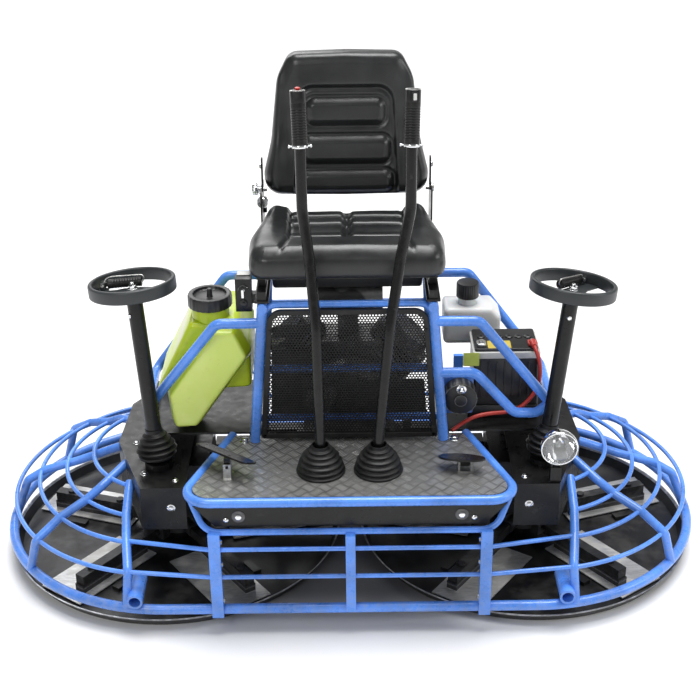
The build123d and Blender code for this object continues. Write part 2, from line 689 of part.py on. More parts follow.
# ---- control sticks ----
STICK_PATH = [
    (75, -340, 424),
    (75, -337, 490),
    (80, -290, 787),
    (94, -240, 958),
    (110, -215, 1080),
    (111, -195, 1232),
]
STICK_TOP = (115, -170, 1373)
STICK_BENDS = (30, 220, 160, 150, 140)
STICK_GRIP = 38.0
RIGHT_SHIFT = 50  # the right stick leans further out than the left one
BUTTON = 12.0


def lean(point, side):
    """A stick point on its own side. The right stick leans outwards as it rises."""
    x, y, z = point
    extra = RIGHT_SHIFT * min(1.0, max(0.0, (z - 470) / 610)) if side > 0 else 0.0
    return (side * (x + extra), y, z)


def stick(side):
    """The bent tube, its grip and its pivot pin."""
    path = [lean(p, side) for p in STICK_PATH]
    top = lean(STICK_TOP, side)
    bent(path + [between(path[-1], top, 0.3)], STICK_BENDS, STICK_TUBE)
    rod(between(path[-1], top, 0.06), top, STICK_GRIP)
    rod((side * STICK_X, STICK_Y, STICK_Z - 11), (side * STICK_X, STICK_Y, STICK_Z + 16), 26)


with BuildPart() as left_stick:
    stick(-1)
    rod((-STICK_X - 31, STICK_Y, STICK_Z), (-STICK_X + 31, STICK_Y, STICK_Z), 2 * PIN_R)
    button_x, button_y, button_z = lean(STICK_TOP, -1)
    well = (button_x, button_y, button_z - 20), (button_x, button_y, button_z + 12)
    rod(*well, BUTTON + 2 * FIT, Mode.SUBTRACT)
finish(left_stick, "left_stick")

with BuildPart() as spray_button:
    rod((button_x, button_y, button_z - 11), (button_x, button_y, button_z + 7), BUTTON)
finish(spray_button, "spray_button")

with BuildPart() as right_stick:
    stick(1)
    rod((STICK_X - 31, STICK_Y, STICK_Z), (STICK_X + 31, STICK_Y, STICK_Z), 2 * PIN_R)
finish(right_stick, "right_stick")

with BuildPart() as right_gimbal:
    for half, tall, mode in ((32, 10, Mode.ADD), (22, 12, Mode.SUBTRACT)):
        with Locations((STICK_X, STICK_Y, STICK_Z)):
            Box(2 * half, 2 * half, 2 * tall, mode=mode)
    for way in (-1, 1):
        rod((STICK_X, STICK_Y + way * 28, STICK_Z), (STICK_X, STICK_Y + way * 42, STICK_Z), 2 * PIN_R)
    rod((STICK_X - 40, STICK_Y, STICK_Z), (STICK_X + 40, STICK_Y, STICK_Z), 2 * (PIN_R + FIT), Mode.SUBTRACT)
finish(right_gimbal, "right_gimbal")

# outer (radius, height) of a stick boot's folds, then its inner wall from the top down
BOOT_FOLDS = [(64, 0), (64, 6), (58, 8), (60, 16), (55, 22), (57, 30), (48, 37), (49, 44), (40, 49), (40, 55)]
BOOT_NECK = [(31, 59), (31, 64), (24, 68), (24, 78)]
BOOT = BOOT_FOLDS + BOOT_NECK + [(19.5, 78), (19.5, 66), (48, 36), (54, 20), (54, 0)]
with BuildPart() as stick_boots:
    for side in (-1, 1):
        turned(BOOT, (side * STICK_X, STICK_Y, DECK_TOP + 0.2), (0, 0, 1))
finish(stick_boots, "stick_boots")

# ---- pedals and their brackets ----
KILL = (301, -346, 424)
PEDAL_SLOPE = 0.45

with BuildPart() as control_brackets:
    for x in (-STICK_X - 27, -STICK_X + 27):
        block((x - 3, x + 3), (STICK_Y - 10, STICK_Y + 10), (DECK_TOP + 0.2, STICK_Z + 10))
    for y in (STICK_Y - 38, STICK_Y + 38):
        block((STICK_X - 10, STICK_X + 10), (y - 3, y + 3), (DECK_TOP + 0.2, STICK_Z + 10))
    for x in (-STICK_X, STICK_X):
        block((x - 48, x + 48), (STICK_Y - 20, STICK_Y + 20), (DECK_TOP + 0.2, DECK_TOP + 4))
    block((STICK_X - 12, STICK_X + 12), (STICK_Y - 44, STICK_Y + 44), (DECK_TOP + 0.2, DECK_TOP + 4))
    for y in (-382, -352):
        block((-326, -306), (y - 2.5, y + 2.5), (DECK_TOP + 0.2, 450))
    block((-330, -302), (-390, -344), (DECK_TOP + 0.2, DECK_TOP + 4))
    for x in (KILL[0] - 16, KILL[0] + 16):
        block((x - 2.5, x + 2.5), (KILL[1] - 8, KILL[1] + 8), (DECK_TOP + 0.2, KILL[2] + 8))
    block((KILL[0] - 22, KILL[0] + 22), (KILL[1] - 14, KILL[1] + 14), (DECK_TOP + 0.2, DECK_TOP + 4))
    pin_bore = 2 * (PIN_R + FIT)
    rod((-STICK_X - 40, STICK_Y, STICK_Z), (-STICK_X + 40, STICK_Y, STICK_Z), pin_bore, Mode.SUBTRACT)
    rod((STICK_X, STICK_Y - 45, STICK_Z), (STICK_X, STICK_Y + 45, STICK_Z), pin_bore, Mode.SUBTRACT)
    rod((-316, -395, 444), (-316, -340, 444), 8 + 2 * FIT, Mode.SUBTRACT)
    rod((KILL[0] - 25, KILL[1], KILL[2]), (KILL[0] + 25, KILL[1], KILL[2]), 8 + 2 * FIT, Mode.SUBTRACT)
finish(control_brackets, "control_brackets")

with BuildPart() as throttle_pedal:
    rod((-316, -388, 444), (-316, -346, 444), 8)
    block((-324, -308), (-376, -358), (438, 465))
    tread = (0.606 * PEDAL_SLOPE, 0.796 * PEDAL_SLOPE, 1)
    with BuildSketch(Plane(origin=(-322, -333, 452), x_dir=(0.796, -0.606, 0), z_dir=tread)):
        RectangleRounded(172, 58, 12)
    extrude(amount=5)
finish(throttle_pedal, "throttle_pedal")

with BuildPart() as kill_pedal:
    rod((KILL[0] - 20, KILL[1], KILL[2]), (KILL[0] + 20, KILL[1], KILL[2]), 8)
    block((KILL[0] - 12, KILL[0] + 12), (KILL[1] - 6, KILL[1] + 6), (KILL[2] - 5, KILL[2] + 13))
    with BuildSketch(Plane(origin=(292, -342, KILL[2] + 12), x_dir=(1, -0.3, 0), z_dir=(0, 0.25, 1))):
        Ellipse(62, 30)
    extrude(amount=5)
finish(kill_pedal, "kill_pedal")

# ---- lamp, drive belt and fasteners ----
with BuildPart() as lamp_head:
    turned([(0, 0), (20, 2), (40, 18), (49, 42), (49, 58), (44, 62), (0, 66)], (549, -262, 449), (0, -1, 0))
    rod((549, -284, 398), (549, -284, 412), 15)
    rod((533, LAMP[1], LAMP[2]), (565, LAMP[1], LAMP[2]), 8)
    rod((540.5, LAMP[1], LAMP[2]), (557.5, LAMP[1], LAMP[2]), 18)
finish(lamp_head, "lamp_head")

with BuildPart() as drive_belt:
    for inner, mode in ((5.3, Mode.ADD), (0.3, Mode.SUBTRACT)):
        with BuildSketch(Plane.YZ.offset(BELT_X[0])) as loop:
            for height, radius in ((CROSS_Z, CROSS_PULLEY_R), (CRANK_Z, CRANK_PULLEY_R)):
                with Locations((CROSS_Y, height)):
                    Circle(radius + inner)
            make_hull()
        extrude(loop.sketch, amount=BELT_X[1] - BELT_X[0], mode=mode)
finish(drive_belt, "drive_belt")

with BuildPart() as frame_bolts:
    for side in (-1, 1):
        rod((side * 557, -226, COVER_TOP + 0.1), (side * 557, -226, COVER_TOP + 7), 20)
        rod((side * 480, -300.1, 268), (side * 480, -307, 268), 20)
        for x, head in ((285, 22), (317, 15)):
            rod((side * x, -472.1, 350), (side * x, -479, 350), head)
        for z in (110, 222, 290):
            rod((side * (POST_X[0] - 0.1), -498, z), (side * (POST_X[0] - 7), -498, z), 12)
finish(frame_bolts, "frame_bolts")
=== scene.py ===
"""Looks of a ride-on power trowel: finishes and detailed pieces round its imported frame.

Shapes are drawn in millimetres as grids of points and put into meshes in metres.
"""

import math

import bmesh
import bpy
import numpy as np
from mathutils import Matrix


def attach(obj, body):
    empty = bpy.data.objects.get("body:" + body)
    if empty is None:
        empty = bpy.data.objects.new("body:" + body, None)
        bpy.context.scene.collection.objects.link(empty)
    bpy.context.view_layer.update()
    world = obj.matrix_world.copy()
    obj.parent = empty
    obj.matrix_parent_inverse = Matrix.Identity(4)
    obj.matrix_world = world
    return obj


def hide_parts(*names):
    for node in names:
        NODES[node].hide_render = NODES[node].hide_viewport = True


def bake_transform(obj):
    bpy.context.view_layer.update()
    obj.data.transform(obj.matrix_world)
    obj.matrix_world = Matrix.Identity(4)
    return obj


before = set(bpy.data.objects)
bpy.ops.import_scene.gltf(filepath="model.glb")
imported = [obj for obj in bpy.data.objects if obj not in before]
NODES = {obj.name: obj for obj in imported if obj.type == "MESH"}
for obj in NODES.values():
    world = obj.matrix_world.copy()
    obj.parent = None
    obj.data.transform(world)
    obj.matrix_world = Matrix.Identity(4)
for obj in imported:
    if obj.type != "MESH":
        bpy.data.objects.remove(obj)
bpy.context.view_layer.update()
MM = 0.001


def linked(name, data):
    """A new object with this data in the scene."""
    made = bpy.data.objects.new(name, data)
    bpy.context.scene.collection.objects.link(made)
    return made


# ---- camera, then the battery lead ----
EYE, TIPPED_DOWN, ROLLED = (0.0047, -3.5, 2.3281), 0.462, -0.012


def place_camera():
    """A long lens in front of the machine, a little above the seat, tipped down."""
    lens = bpy.data.cameras.new("camera")
    lens.lens, lens.sensor_width = 72.54, 36.0
    lens.clip_start, lens.clip_end = 0.05, 60.0
    camera = linked("camera", lens)
    turn = Matrix.Rotation(math.pi / 2 - TIPPED_DOWN, 4, "X") @ Matrix.Rotation(ROLLED, 4, "Z")
    camera.matrix_world = Matrix.Translation(EYE) @ turn
    bpy.context.scene.camera = camera


place_camera()

# the lead's route, from the battery's right terminal to the frame beside the deck
LEAD = [(505, -39, 622), (508, -74, 620), (517, -93, 598), (522, -96, 562), (520, -94, 524), (505, -93, 484)]
LEAD += [(474, -96, 450), (432, -101, 438), (388, -108, 440), (344, -118, 436), (306, -134, 422), (280, -152, 412)]
LEAD_RADIUS = 5.5


def lay_lead():
    """The battery lead as one smooth line through its route, thick as the real lead."""
    line = bpy.data.curves.new("battery_lead", "CURVE")
    line.dimensions = "3D"
    line.bevel_depth, line.bevel_resolution, line.resolution_u = LEAD_RADIUS * MM, 6, 12
    line.use_fill_caps = True
    spline = line.splines.new("NURBS")
    spline.points.add(len(LEAD) - 1)
    route = np.column_stack([np.array(LEAD) * MM, np.ones(len(LEAD))])
    spline.points.foreach_set("co", route.ravel())
    spline.order_u = 3
    spline.use_endpoint_u = True
    return linked("battery_lead", line)


battery_lead = lay_lead()


# ---- finishes ----
class Flow:
    """A value on its way through a finish; arithmetic on it adds the matching Math node."""

    def __init__(self, coat, socket):
        self.coat, self.socket = coat, socket

    def math(self, operation, *others):
        values = dict(enumerate((self, *others)))
        return self.coat.node("ShaderNodeMath", {"operation": operation}, values)

    def __add__(self, other):
        return self.math("ADD", other)

    __radd__ = __add__

    def __sub__(self, other):
        return self.math("SUBTRACT", other)

    def __rsub__(self, other):
        return (self * -1.0) + other

    def __mul__(self, other):
        return self.math("MULTIPLY", other)

    __rmul__ = __mul__

    def __truediv__(self, other):
        return self.math("DIVIDE", other)

    def __mod__(self, other):
        return self.math("FLOORED_MODULO", other)

    def size(self):
        return self.math("ABSOLUTE")

    def step(self, low, high, start=0.0, end=1.0):
        """A smooth change from start to end as the value goes from low to high."""
        span = {"Value": self, "From Min": low, "From Max": high, "To Min": start, "To Max": end}
        return self.coat.node("ShaderNodeMapRange", {"interpolation_type": "SMOOTHSTEP"}, span)


def scaled(colour, factor, lift=0.0):
    """A colour made lighter or darker."""
    return tuple(min(1.0, factor * v + lift) for v in colour)


class Coat:
    """One finish: a node tree that ends in a Principled shader. Flat values go straight on its sockets."""

    def __init__(self, name, colour, roughness, **flat):
        self.material = bpy.data.materials.new(name)
        self.material.use_nodes = True
        self.tree = self.material.node_tree
        self.shader = self.tree.nodes["Principled BSDF"]
        self.shader.inputs["Base Color"].default_value = (*colour, 1.0)
        self.shader.inputs["Roughness"].default_value = roughness
        for socket, value in flat.items():
            self.shader.inputs[socket.replace("_", " ")].default_value = value
        self.place = self.node("ShaderNodeTexCoord", out="Object")

    def node(self, kind, settings=None, sockets=None, out=0):
        """Any node: its settings first, then the value or link of each socket."""
        made = self.tree.nodes.new(kind)
        for key, value in (settings or {}).items():
            setattr(made, key, value)
        for key, value in (sockets or {}).items():
            if isinstance(value, Flow):
                self.tree.links.new(value.socket, made.inputs[key])
            else:
                made.inputs[key].default_value = value
        return Flow(self, made.outputs[out])

    def moved(self, scale, turn=(0, 0, 0)):
        """The piece's own coordinates, stretched and turned."""
        facts = {"Vector": self.place, "Scale": scale, "Rotation": turn}
        return self.node("ShaderNodeMapping", None, facts)

    def axis(self, letter):
        return self.node("ShaderNodeSeparateXYZ", None, {0: self.place}, letter)

    def noise(self, scale, detail=4.0, rough=0.55, where=None):
        facts = {"Vector": where or self.place, "Scale": scale, "Detail": detail, "Roughness": rough}
        return self.node("ShaderNodeTexNoise", None, facts)

    def cells(self, scale):
        """Distance to the middle of rounded cells."""
        facts = {"Vector": self.place, "Scale": scale}
        return self.node("ShaderNodeTexVoronoi", {"feature": "SMOOTH_F1"}, facts, "Distance")

    def blend(self, share, first, second):
        """Two colours mixed by a share; a colour may be three numbers or another mix."""
        full = [c if isinstance(c, Flow) else (*c, 1.0) for c in (first, second)]
        return self.node("ShaderNodeMix", {"data_type": "RGBA"}, {0: share, 6: full[0], 7: full[1]}, 2)

    def bump(self, height, strength, distance, under=None):
        facts = {"Height": height, "Strength": strength, "Distance": distance}
        if under:
            facts["Normal"] = under
        return self.node("ShaderNodeBump", None, facts)

    def wear(self, colour=None, rough=None, normal=None, metal=None):
        """Links the varying values to the shader and hands over the finished material."""
        varying = {"Base Color": colour, "Roughness": rough, "Normal": normal, "Metallic": metal}
        for key, value in varying.items():
            if value:
                self.tree.links.new(value.socket, self.shader.inputs[key])
        return self.material


def enamel(name, colour, chips, dust):
    """Sprayed enamel: faint orange peel, uneven tone, cement dust low down and small chips to the primer."""
    c = Coat(name, colour, 0.3, Coat_Roughness=0.12, Coat_Weight=0.35)
    tone = c.noise(7.0, 5.0)
    low = c.axis("Z").step(0.03, 0.34, 1.0, 0.12)
    film = (c.noise(38.0, 8.0, 0.7).step(0.42, 0.72) * low * dust).math("MINIMUM", 1.0)
    splash = c.noise(150.0, 3.0, 0.6).step(0.66, 0.72) * c.noise(9.0).step(0.5, 0.62) * low
    chip = c.noise(85.0, 6.0, 0.6).step(0.70, 0.715) * c.noise(14.0).step(0.52, 0.6) * chips
    paint = c.blend(tone.step(0.3, 0.7), scaled(colour, 0.72), scaled(colour, 1.18, 0.008))
    dusty = c.blend(film * 0.42, paint, (0.36, 0.36, 0.34))
    splashed = c.blend(splash * 0.75, dusty, (0.55, 0.54, 0.5))
    done = c.blend(chip, splashed, (0.045, 0.04, 0.04))
    rough = film * 0.35 + splash * 0.3 + c.noise(60.0).step(0.3, 0.7, 0.22, 0.36)
    peel = c.bump(c.noise(420.0, 2.0), 0.12, 0.0006)
    return c.wear(done, rough, c.bump(chip - splash, 0.25, 0.0004, peel))


def satin_black(name, level=0.008, dust=0.5, rough=0.34, grain=320.0):
    """Satin black paint with dust in its low spots, fine scuffs and a light grain."""
    sheen = {"Specular_IOR_Level": 0.28, "Coat_Weight": 0.08, "Coat_Roughness": 0.16}
    c = Coat(name, (level,) * 3, rough, **sheen)
    film = c.noise(16.0, 8.0, 0.68).step(0.45, 0.75) * dust
    streak = c.noise(26.0, 6.0, 0.6, c.moved((1, 9, 1), (0.3, 0.2, 0.7)))
    scuff = streak.step(0.63, 0.68) * c.noise(7.0).step(0.45, 0.6)
    paint = c.blend(c.noise(5.0).step(0.3, 0.7), (level * 0.7,) * 3, (level * 1.5,) * 3)
    dusty = c.blend(film * 0.10, paint, (0.20, 0.19, 0.17))
    done = c.blend(scuff * 0.3, dusty, (0.08, 0.08, 0.08))
    grainy = c.bump(c.noise(grain, 3.0), 0.15, 0.0005)
    roughly = film * 0.25 + c.noise(48.0).step(0.3, 0.7, rough - 0.08, rough + 0.06)
    return c.wear(done, roughly, grainy)


def worn_steel(name, colour, rough=0.36, cement=0.5, metal=0.9):
    """Bare steel rubbed bright, with brushing along X, cement haze and darker stains."""
    c = Coat(name, colour, rough)
    brush = c.noise(30.0, 6.0, 0.7, c.moved((1, 30, 30)))
    haze = c.noise(13.0, 8.0, 0.66).step(0.46, 0.66) * cement
    stain = c.noise(5.0, 6.0, 0.6).step(0.5, 0.72)
    base = c.blend(brush.step(0.3, 0.7), scaled(colour, 0.72), scaled(colour, 1.2))
    stained = c.blend(stain * 0.5, base, (0.09, 0.085, 0.08))
    done = c.blend(haze * 0.8, stained, (0.4, 0.39, 0.36))
    metallic = (haze * -0.7 + metal).math("MAXIMUM", 0.0)
    roughly = haze * 0.3 + brush.step(0.2, 0.8, rough - 0.1, rough + 0.12)
    return c.wear(done, roughly, c.bump(brush + haze, 0.15, 0.0006), metallic)


def blade_steel():
    """Trowel blade: the plate is rubbed bright under cement haze. The bar and arm above it stay dark, with bright
    edges."""
    c = Coat("blade_steel", (0.5, 0.5, 0.5), 0.38)
    z = c.axis("Z")
    plate = z.step(0.0108, 0.0118, 1.0, 0.0)
    edge = z.step(0.0225, 0.0245) * z.step(0.0262, 0.0300, 1.0, 0.0)
    haze = c.noise(13.0, 8.0, 0.66).step(0.44, 0.66)
    rub = c.noise(34.0, 6.0, 0.7, c.moved((1, 8, 8), (0, 0, 0.6))).step(0.3, 0.7)
    bright = c.blend(haze, c.blend(rub, (0.42, 0.42, 0.41), (0.66, 0.66, 0.65)), (0.50, 0.49, 0.46))
    dark = c.blend(haze * 0.5, c.blend(rub, (0.018, 0.018, 0.019), (0.045, 0.045, 0.046)), (0.10, 0.097, 0.09))
    worn = c.blend(edge * rub * 0.6, dark, (0.34, 0.34, 0.34))
    done = c.blend(plate, worn, bright)
    metal = plate * 0.25 + haze * -0.3 + 0.45
    return c.wear(done, haze * 0.25 + 0.33, c.bump(rub + haze, 0.15, 0.0006), metal)


def pan_steel():
    """Float pan: dark cement-stained sheet whose turned-up lip is painted bright as a highlight, the glint along
    its rim.
    """
    c = Coat("float_pan_steel", (0.05, 0.05, 0.05), 0.4)
    lip = c.axis("Z").step(0.0238, 0.0252)
    film = c.noise(11.0, 8.0, 0.68).step(0.4, 0.72)
    dirt = c.blend(film, (0.006, 0.006, 0.007), (0.030, 0.029, 0.027))
    # painted highlight: these bright colours on the lip stand for the glint along the pan's rim
    rubbed = c.blend(c.noise(40.0).step(0.35, 0.6), (0.72, 0.73, 0.74), (0.4, 0.4, 0.4))
    crust = c.bump(film + c.noise(90.0) * 0.4, 0.25, 0.001)
    return c.wear(c.blend(lip, dirt, rubbed), film * 0.25 + 0.3, crust, lip * 0.5)


def tread_steel():
    """Five-bar tread plate: on a grid turned by 45 degrees each square holds five raised lens-shaped bars,
    and the bars change direction from square to square. Their tops are rubbed bright."""
    c = Coat("tread_plate_steel", (0.36, 0.36, 0.35), 0.32)
    square, bars, bar_half_length, bar_half_width = 0.030, 5.0, 0.43, 0.052
    x, y = c.axis("X"), c.axis("Y")
    p, q = (x + y) * (0.7071 / square), (x - y) * (0.7071 / square)
    odd = ((p.math("FLOOR") + q.math("FLOOR")) % 2.0).step(0.4, 0.6)
    u, v = p % 1.0 - 0.5, q % 1.0 - 0.5
    along = u + (v - u) * odd
    across = v + (u - v) * odd
    row = ((across * bars + 0.5) % 1.0 - 0.5).size() / bars
    reach = along / bar_half_length
    half = (1.0 - reach * reach).math("MAXIMUM", 0.0).math("SQRT") * bar_half_width
    bar = (half - row).step(0.0, 0.022)
    grime = c.noise(9.0, 8.0, 0.66).step(0.35, 0.7)
    streak = c.noise(20.0, 6.0, 0.65, c.moved((1, 5, 1), (0, 0, 0.5))).step(0.4, 0.7)
    floor = c.blend(grime, (0.20, 0.20, 0.195), (0.085, 0.083, 0.078))
    top = c.blend(streak, (0.86, 0.86, 0.85), (0.52, 0.52, 0.50))
    done = c.blend(bar * 0.85, floor, top)
    rough = bar * -0.14 + grime * 0.18 + 0.36
    dents = c.bump(c.noise(14.0, 4.0), 0.12, 0.004)
    return c.wear(done, rough, c.bump(bar, 0.8, 0.0016, dents), bar * 0.25 + 0.5)


def leathery(name, level=0.010, rough=0.33):
    """Black vinyl: fine pebbled grain, soft folds, and a sheen that changes where it is sat on."""
    c = Coat(name, scaled((1.0, 1.08, 1.16), level), rough, Coat_Weight=0.25, Coat_Roughness=0.26)
    pebble = c.cells(620.0) + c.cells(1350.0) * 0.4
    fold = c.noise(11.0, 2.0, 0.45, c.moved((1, 2.2, 1), (0, 0, 0.4)))
    worn = c.noise(6.0, 5.0, 0.6).step(0.42, 0.7)
    done = c.blend(worn, scaled((0.8, 0.86, 0.92), level), scaled((1.6, 1.7, 1.8), level))
    dusty = c.blend(c.noise(170.0, 2.0).step(0.71, 0.75) * 0.1, done, (0.10, 0.10, 0.095))
    rough_map = worn * 0.08 + c.noise(70.0).step(0.3, 0.7, rough - 0.04, rough + 0.04)
    soft = c.bump(fold, 0.16, 0.005)
    return c.wear(dusty, rough_map, c.bump(pebble, 0.07, 0.0004, soft))


def moulded_rubber(name, level=0.009, rough=0.46):
    """Black rubber, slightly chalky, with dust."""
    c = Coat(name, (level,) * 3, rough, Specular_IOR_Level=0.32)
    chalk = c.noise(24.0, 7.0, 0.66).step(0.42, 0.72)
    done = c.blend(chalk * 0.4, (level,) * 3, (0.04, 0.039, 0.037))
    grain = c.bump(c.noise(520.0, 2.0), 0.2, 0.0004)
    return c.wear(done, chalk * 0.2 + (rough - 0.08), grain)


def moulded_plastic(name, low, high, rough=0.42, scale=8.0, **flat):
    """Moulded plastic: two near tones, a fine spark-eroded texture and scuffs."""
    c = Coat(name, low, rough, **flat)
    tone = c.noise(scale, 5.0).step(0.3, 0.7)
    scuff = c.noise(30.0, 6.0, 0.6, c.moved((1, 7, 1), (0.5, 0.1, 0.6))).step(0.66, 0.72)
    done = c.blend(scuff * 0.25, c.blend(tone, low, high), scaled(high, 1.0, 0.12))
    sparks = c.bump(c.noise(600.0, 2.0), 0.14, 0.0004)
    return c.wear(done, scuff * 0.2 + tone * 0.08 + (rough - 0.05), sparks)


def tank_plastic():
    """Blow-moulded tank: yellow-green, its faces turned to the front painted paler as the lit side and a painted
    highlight up its outer slope, with soft moulding waves."""
    depth = {"Subsurface_Weight": 0.18, "Subsurface_Scale": 0.012, "Coat_Weight": 0.1}
    c = Coat("water_tank_plastic", (0.60, 0.72, 0.08), 0.36, **depth)
    x, y, z = c.axis("X"), c.axis("Y"), c.axis("Z")
    wave = c.noise(7.0, 4.0)
    # painted light: faces turned to the front take the paler face colours, as if lit, and the rest the darker side
    # colours
    front = (y + wave * 0.004).step(-0.149, -0.140, 1.0, 0.0)
    # painted highlight: the upper outer slope is painted pale beige
    slope = (x + z * 0.55).step(-0.048, -0.098) * z.step(0.60, 0.66) * y.step(-0.098, -0.075)
    side = c.blend(wave.step(0.35, 0.65), (0.47, 0.60, 0.012), (0.58, 0.72, 0.03))
    face = c.blend(wave.step(0.35, 0.65), (0.66, 0.80, 0.16), (0.74, 0.86, 0.24))
    done = c.blend(slope * 0.9, c.blend(front, side, face), (0.62, 0.60, 0.47))
    scuff = c.noise(45.0, 7.0, 0.7).step(0.58, 0.72)
    dirty = c.blend(scuff * 0.25, done, (0.30, 0.33, 0.10))
    return c.wear(dirty, scuff * 0.2 + 0.32, c.bump(wave + c.noise(160.0) * 0.08, 0.2, 0.004))


def bright_metal(name, colour=(0.78, 0.79, 0.80), rough=0.12, pits=0.5):
    """Plated metal with a few dull spots and fine polishing marks."""
    c = Coat(name, colour, rough, Metallic=1.0)
    dull = c.noise(90.0, 6.0, 0.65).step(0.52, 0.7) * pits
    polish = c.noise(300.0).step(0.2, 0.8, rough - 0.04, rough + 0.08)
    marks = c.bump(c.noise(240.0, 3.0), 0.05, 0.0005)
    return c.wear(c.blend(dull, colour, scaled(colour, 0.45)), dull * 0.35 + polish, marks)


def cast_metal():
    """Engine castings: grey aluminium and black shrouds in large patches, oily and dusty."""
    c = Coat("engine_castings", (0.1, 0.1, 0.1), 0.45)
    oil = c.noise(15.0, 8.0, 0.68).step(0.4, 0.7)
    part = c.noise(6.5, 1.0, 0.4).step(0.5, 0.53)
    metal = c.blend(oil, (0.22, 0.22, 0.215), (0.07, 0.066, 0.06))
    black = c.blend(oil, (0.02, 0.02, 0.02), (0.05, 0.048, 0.045))
    grain = c.bump(c.noise(210.0, 4.0) + oil, 0.3, 0.0008)
    return c.wear(c.blend(part, metal, black), oil * 0.25 + 0.34, grain, part * -0.6 + 0.7)


def clear_lens():
    """Clear moulded lens with fine upright flutes."""
    c = Coat("lamp_lens_clear", (0.96, 0.97, 0.98), 0.03, IOR=1.45, Transmission_Weight=1.0)
    flute = (c.axis("X") * 900.0).math("SINE")
    return c.wear(rough=c.noise(40.0).step(0.4, 0.7, 0.02, 0.08), normal=c.bump(flute, 0.3, 0.0008))


def studio_floor():
    """Plain pale floor with a barely uneven tone, and a painted shadow where the machine stands over it."""
    c = Coat("studio_floor", (0.86, 0.86, 0.86), 0.6)
    tone = c.noise(1.4, 3.0).step(0.2, 0.8)
    # painted shadow: a soft near-black patch on the floor between the pans, standing in for the shade under the
    # machine
    under = c.axis("X").size().step(0.24, 0.56, 1.0, 0.0) * c.axis("Y").size().step(0.30, 0.52, 1.0, 0.0)
    pale = c.blend(tone, (0.83, 0.83, 0.83), (0.88, 0.88, 0.88))
    return c.wear(c.blend(under * 0.9, pale, (0.05, 0.05, 0.055)))


BLUE = enamel("blue_enamel", (0.085, 0.265, 0.82), 0.8, 0.8)
BLACK = satin_black("satin_black_paint")
SCREEN_BLACK = satin_black("screen_black_paint", 0.010, 0.7, 0.40)
LEVER_BLACK = satin_black("lever_black_paint", 0.007, 0.15, 0.24, 120.0)
STEEL = blade_steel()
DARK_STEEL = worn_steel("arm_steel", (0.10, 0.10, 0.105), 0.42, 0.3, 0.7)
PAN = pan_steel()
TREAD = tread_steel()
VINYL = leathery("seat_vinyl")
RUBBER = moulded_rubber("black_rubber")
GRIP_RUBBER = moulded_rubber("grip_rubber", 0.008, 0.40)
WHEEL = moulded_plastic("handwheel_plastic", (0.026, 0.030, 0.032), (0.038, 0.043, 0.046), 0.4)
CAP_BLACK = moulded_plastic("cap_plastic", (0.010, 0.010, 0.011), (0.02, 0.02, 0.021), 0.36)
CASE = moulded_plastic("battery_plastic", (0.010, 0.010, 0.011), (0.018, 0.018, 0.019), 0.38)
# pale plastic; on the battery lid this pale grey is a painted highlight along its front edge
PALE_CASE = moulded_plastic("pale_plastic_and_lid_highlight", (0.50, 0.50, 0.48), (0.60, 0.60, 0.58), 0.4)
TANK = tank_plastic()
MILKY = {"Subsurface_Weight": 0.2, "Subsurface_Scale": 0.015}
FUEL = moulded_plastic("fuel_tank_plastic", (0.66, 0.67, 0.66), (0.76, 0.77, 0.77), 0.34, 6.0, **MILKY)
PATCH = moulded_plastic("plain_patch", (0.42, 0.50, 0.06), (0.50, 0.56, 0.10), 0.45, 40.0)
AMBER_PATCH = moulded_plastic("plain_amber_patch", (0.50, 0.38, 0.04), (0.60, 0.47, 0.08), 0.45, 60.0)
LEAD_RED = moulded_plastic("red_lead_plastic", (0.42, 0.030, 0.022), (0.56, 0.055, 0.04), 0.4, 30.0)
BUTTON_RED = moulded_plastic("red_button_plastic", (0.50, 0.015, 0.012), (0.60, 0.03, 0.02), 0.3, 60.0)
CHROME = bright_metal("chrome_plate")
ZINC = bright_metal("zinc_plate", (0.62, 0.62, 0.60), 0.28, 0.8)
MIRROR = bright_metal("lamp_reflector", (0.90, 0.90, 0.90), 0.05, 0.1)
ENGINE = cast_metal()
LENS = clear_lens()
ROCKER = moulded_plastic("rocker_plastic", (0.62, 0.62, 0.60), (0.7, 0.7, 0.68), 0.3)


# ---- shapes: each is (points in millimetres, arrays of faces) ----
def unit(v):
    v = np.asarray(v, float)
    return v / np.linalg.norm(v, axis=-1, keepdims=True)


def basis(axis, side=(1, 0, 0)):
    """Columns u, v, w: w is the axis, u is the side made square to it, v completes them."""
    w = unit(axis)
    u = unit(np.asarray(side, float) - w * (w @ np.asarray(side, float)))
    return np.stack([u, np.cross(w, u), w], axis=1)


def at(shape, origin=(0, 0, 0), axes=np.eye(3)):
    """A shape carried so that its own X, Y and Z lie along the axes from the origin."""
    return shape[0] @ axes.T + np.asarray(origin, float), shape[1]


def lattice(points, wrap_rows=False, wrap_columns=True, caps=False):
    """Quads between neighbouring points of a grid of rows; caps fan each end row to its middle."""
    rows, columns = points.shape[:2]
    index = np.arange(rows * columns).reshape(rows, columns)
    last_row = rows if wrap_rows else rows - 1
    last_column = columns if wrap_columns else columns - 1
    r, c = np.arange(last_row)[:, None], np.arange(last_column)[None, :]
    r2, c2 = (r + 1) % rows, (c + 1) % columns
    quads = np.stack([index[r, c], index[r, c2], index[r2, c2], index[r2, c]], -1).reshape(-1, 4)
    spots, faces = points.reshape(-1, 3), [quads]
    if caps:
        spots = np.vstack([spots, points[0].mean(0), points[-1].mean(0)])
        for ring, hub in ((index[0][::-1], rows * columns), (index[-1], rows * columns + 1)):
            faces.append(np.stack([ring, np.roll(ring, -1), np.full(columns, hub)], -1))
    return spots, faces


